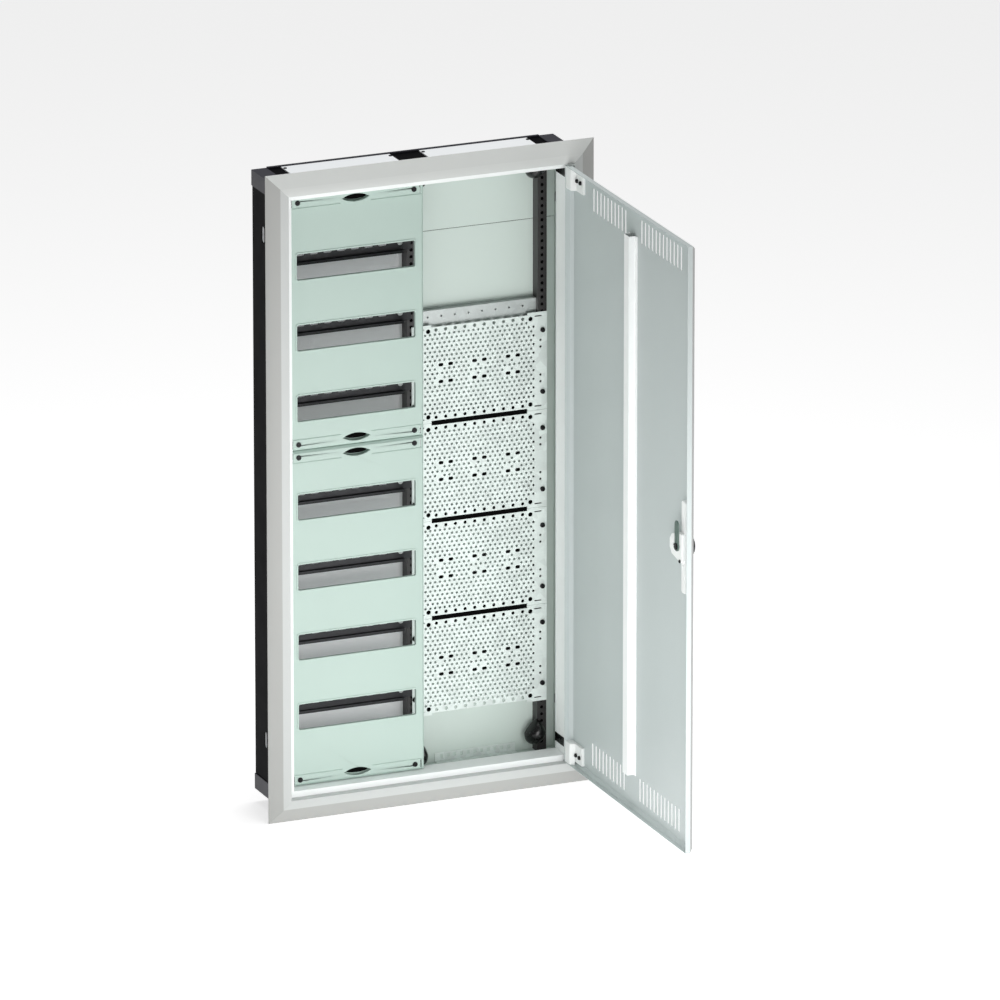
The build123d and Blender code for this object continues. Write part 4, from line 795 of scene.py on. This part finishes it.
class CABINET_OT_covers(bpy.types.Operator):
    """Finishes the device covers and adds a raised rim around every window"""

    bl_idname = "cabinet.covers"
    bl_label = "Device covers"

    def execute(self, context):
        size, _, _ = settings()
        for cover in COVERS:
            soften(cover, size.cover_radius, "cover", join_flats=False)
            self.rims(cover, size)
            self.grips(cover)
            for index in range(FASTENERS_PER_COVER):
                dress(f"{cover}_fastener_{index + 1}", "screw")
        return {"FINISHED"}

    def grips(self, cover):
        """A dark half-moon in each finger pocket: a painted shadow under the pocket's upper lip."""
        low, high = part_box(cover)
        bm = bmesh.new()
        for z in (high.z - GRIP_FROM_END, low.z + GRIP_FROM_END):
            centre = Vector(((low.x + high.x) / 2, low.y + GRIP_SILL, z + GRIP_MOON.z * GRIP_LIFT))
            made = add_disc(bm, centre, BACK, MM, MM, 32)
            for vert in made["verts"]:
                vert.co.x = centre.x + (vert.co.x - centre.x) * GRIP_MOON.x / MM
                vert.co.z = centre.z + (vert.co.z - centre.z) * GRIP_MOON.z / MM
        add_piece(cover + "_grip_shadows", bm, cover, "nut")

    def rims(self, cover, size):
        """The rims of one cover's windows."""
        low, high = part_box(cover)
        bm = bmesh.new()
        for first, last in WINDOWS:
            z = (first[2] + last[2]) / 2
            if not low.z < z < high.z:
                continue
            x = (first[0] + last[0]) / 2
            width = last[0] - first[0] + 2 * size.window_margin
            height = last[2] - first[2] + 2 * size.window_margin
            add_ring(bm, (x, low.y, z), width, height, size.rim_width, size.rim_rise, size.rim_corner)
        add_piece(cover + "_window_rims", bm, cover, "cover")


class CABINET_OT_plates(bpy.types.Operator):
    """Finishes the mounting plates, their screws, the black joint bars (a painted shadow in the plate joints)
    and the cable tie strip
    """

    bl_idname = "cabinet.plates"
    bl_label = "Mounting plates"

    def execute(self, context):
        size, _, _ = settings()
        boxes = []
        for index in range(PLATE_COUNT):
            node = f"mounting_plate_{index + 1}"
            dress(node, "plate")
            boxes.append(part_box(node))
        bars = bmesh.new()
        for (low, high), (_, below) in zip(boxes, boxes[1:]):
            self.bar(bars, high.y, (low.z + below.z) / 2, size)
        add_piece("plate_joint_bars", bars, "cabinet", "nut")
        nuts = bmesh.new()
        for low, high in boxes:
            self.nuts(nuts, low, high, size)
        add_piece("plate_nuts", nuts, "cabinet", "nut")
        screw_heads("plate_screw_heads", "plate_screws", FRONT, PLATE_HEAD)
        soften("cable_tie_strip", size.sheet_radius, "plate")
        return {"FINISHED"}

    def bar(self, bm, back, z, size):
        """One black bar between the uprights, behind a joint: a painted shadow for the dark gap there."""
        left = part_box("mounting_rail_middle")[1].x
        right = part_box("mounting_rail_right")[0].x
        half = size.joint_shadow_bar_height / 2
        add_block(bm, (left, back, z - half), (right, back + size.joint_shadow_bar_depth, z + half), BAR_ROUND)

    def nuts(self, bm, low, high, size):
        """The nut plates behind one plate, in matt black so each hole shows dark: partly painted shade. A
        block for each oblong hole, a disc for each corner hole.
        """
        middle = (low + high) / 2
        depth = Vector((0.0, size.strip_depth, 0.0))
        for column in (-1, 0, 1):
            for side in (-1, 1):
                for row in (-1, 1):
                    centre = Vector((middle.x + column * SLOT_PITCH + side * SLOT_HALF, high.y,
                                     middle.z + row * SLOT_ROW))
                    half = Vector((SLOT_REACH.x + size.nut_lap, 0.0, SLOT_REACH.z + size.nut_lap))
                    add_block(bm, centre - half, centre + half + depth)
        for side in (-1, 1):
            for end in (low.z + CORNER_HOLE.z, high.z - CORNER_HOLE.z):
                centre = Vector((middle.x + side * CORNER_HOLE.x, high.y, end))
                add_disc(bm, centre, BACK, CORNER_HOLE.y + size.nut_lap, size.strip_depth, 16)


class CABINET_OT_door(bpy.types.Operator):
    """Finishes the door leaf, its stiffener, the hinge brackets, lugs and pins"""

    bl_idname = "cabinet.door"
    bl_label = "Door"

    def execute(self, context):
        size, _, _ = settings()
        soften("door_panel", size.sheet_radius, "door")
        # The stiffener wears the white jamb paint, lighter than the door's grey: painted light for its
        # brightly lit front side.
        soften("door_stiffener", size.sheet_radius, "jamb")
        soften("door_hinge_brackets", size.mould_radius / 2, "white")
        soften("hinge_lugs", size.sheet_radius, "zinc")
        dress("hinge_pins", "zinc")
        dress("door_bracket_screws", "screw")
        screw_heads("door_bracket_screw_heads", "door_bracket_screws", LEFT, BRACKET_HEAD)
        return {"FINISHED"}


class CABINET_OT_lock(bpy.types.Operator):
    """Finishes the lock case, the knob and the tongue"""

    bl_idname = "cabinet.lock"
    bl_label = "Lock"

    def execute(self, context):
        size, _, _ = settings()
        soften("lock_case", size.mould_radius * 0.8, "white", 3)
        soften("lock_knob", size.sheet_radius, "black")
        soften("lock_cam", size.sheet_radius, "cam")
        dress("lock_cam_screw", "screw")
        self.skirt(size)
        self.case_screw()
        return {"FINISHED"}

    def skirt(self, size):
        """The round skirt of the knob on the outside of the door."""
        low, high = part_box("lock_knob")
        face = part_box("door_panel")[1].x
        bm = bmesh.new()
        centre = Vector((face, (low.y + high.y) / 2, (low.z + high.z) / 2))
        add_disc(bm, centre, RIGHT, size.skirt_radius, size.skirt_rise, 48)
        rim = [e for e in bm.edges if all(v.co.x > face + size.skirt_rise / 2 for v in e.verts)]
        bmesh.ops.bevel(bm, geom=rim, offset=SKIRT_ROUND, offset_type="OFFSET", segments=4, profile=0.5,
                        affect="EDGES", material=-1)
        add_piece("lock_knob_skirt", bm, body_of("lock_knob"), "black")

    def case_screw(self):
        """The small dark screw at the foot of the lock case."""
        low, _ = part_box("lock_case")
        bm = bmesh.new()
        place = Vector((low.x + CASE_SCREW.x, low.y + CASE_SCREW.y, CASE_SCREW.z))
        add_pan_head(bm, place, LEFT, *CASE_HEAD)
        add_piece("lock_case_screw", bm, body_of("lock_case"), "screw")


class CABINET_OT_stage(bpy.types.Operator):
    """Sets the floor, the lights and the camera"""

    bl_idname = "cabinet.stage"
    bl_label = "Stage"

    def execute(self, context):
        _, colour, stage = settings()
        self.floor(colour, stage)
        self.surroundings(context, stage)
        self.lights(stage)
        self.camera(context, stage)
        return {"FINISHED"}

    def floor(self, colour, stage):
        """A pale floor just under the trim frame."""
        bm = bmesh.new()
        bmesh.ops.create_grid(bm, x_segments=1, y_segments=1, size=FLOOR_HALF)
        bmesh.ops.translate(bm, verts=bm.verts, vec=(0, 0, CAD_BOX[0][2] - FLOOR_GAP))
        mesh = bpy.data.meshes.new("floor")
        bm.to_mesh(mesh)
        bm.free()
        floor = bpy.data.objects.new("floor", mesh)
        bpy.context.scene.collection.objects.link(floor)
        finish = Finish("floor_paint", **{"Roughness": 0.9, "Emission Color": (1.0, 1.0, 1.0, 1.0),
                                          "Emission Strength": stage.floor_glow})
        finish.paint(finish.noise(0.8), shade(colour.floor, 0.995), colour.floor)
        mesh.materials.append(finish.material)

    def surroundings(self, context, stage):
        """An even white world."""
        world = bpy.data.worlds.new("white_surroundings")
        world.use_nodes = True
        background = world.node_tree.nodes["Background"]
        background.inputs["Color"].default_value = (1.0, 1.0, 1.0, 1.0)
        background.inputs["Strength"].default_value = stage.sky
        context.scene.world = world
        context.scene.view_settings.view_transform = "Standard"

    def lights(self, stage):
        """Two soft panels: one overhead, and one low in front."""
        self.panel("key_light", KEY_PLACE, KEY_WIDTH, stage.key_power)
        self.panel("fill_light", FILL_PLACE, FILL_WIDTH, stage.fill_power)

    def panel(self, name, place, width, power):
        """One soft panel that faces the cabinet."""
        lamp = bpy.data.lights.new(name, "AREA")
        lamp.shape = "SQUARE"
        lamp.size = width
        lamp.energy = power
        holder = bpy.data.objects.new(name, lamp)
        bpy.context.scene.collection.objects.link(holder)
        holder.location = place
        facing = Vector((0.0, 0.0, place[2] * LIGHT_AIM)) - Vector(place)
        holder.rotation_euler = facing.to_track_quat("-Z", "Y").to_euler()

    def camera(self, context, stage):
        """A long lens from the left and a little above."""
        az, el = stage.azimuth, stage.elevation
        back = Vector((math.sin(az) * math.cos(el), -math.cos(az) * math.cos(el), math.sin(el)))
        right = Vector((math.cos(az), math.sin(az), 0.0))
        up = back.cross(right)
        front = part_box("jamb_sill")[0].y - AIM_AHEAD
        aim = Vector((0.0, front, 0.0)) + right * stage.aim_right - up * stage.aim_down
        lens = bpy.data.cameras.new("camera")
        lens.sensor_width = SENSOR
        lens.lens = stage.scale * stage.distance * lens.sensor_width
        lens.clip_end = VIEW_DEPTH
        holder = bpy.data.objects.new("camera", lens)
        context.scene.collection.objects.link(holder)
        holder.location = aim + back * stage.distance
        holder.rotation_euler = (-back).to_track_quat("-Z", "Y").to_euler()
        context.scene.camera = holder


class CABINET_PT_pieces(bpy.types.Panel):
    """Lists the cabinet's pieces"""

    bl_idname = "CABINET_PT_pieces"
    bl_label = "Cabinet"
    bl_space_type = "VIEW_3D"
    bl_region_type = "UI"
    bl_category = "Cabinet"

    def draw(self, context):
        for operator in OPERATORS:
            self.layout.operator(operator.bl_idname)
        for group in settings():
            box = self.layout.box()
            for name in group.bl_rna.properties.keys():
                if name not in ("rna_type", "name"):
                    box.prop(group, name)


OPERATORS = (CABINET_OT_tub, CABINET_OT_trim, CABINET_OT_jambs, CABINET_OT_lining, CABINET_OT_rails,
             CABINET_OT_covers, CABINET_OT_plates, CABINET_OT_door, CABINET_OT_lock, CABINET_OT_stage)
GROUPS = (CabinetSizes, CabinetColours, CabinetStage)


def register():
    """Adds the settings, the operators and the panel."""
    for cls in GROUPS + OPERATORS + (CABINET_PT_pieces,):
        bpy.utils.register_class(cls)
    bpy.types.Scene.cabinet_sizes = bpy.props.PointerProperty(type=CabinetSizes)
    bpy.types.Scene.cabinet_colours = bpy.props.PointerProperty(type=CabinetColours)
    bpy.types.Scene.cabinet_stage = bpy.props.PointerProperty(type=CabinetStage)


def unregister():
    """Removes what register added."""
    del bpy.types.Scene.cabinet_stage
    del bpy.types.Scene.cabinet_colours
    del bpy.types.Scene.cabinet_sizes
    for cls in reversed(GROUPS + OPERATORS + (CABINET_PT_pieces,)):
        bpy.utils.unregister_class(cls)


def main():
    """Builds every piece in order."""
    register()
    for operator in OPERATORS:
        group, name = operator.bl_idname.split(".")
        getattr(getattr(bpy.ops, group), name)()


if __name__ == "__main__":
    main()
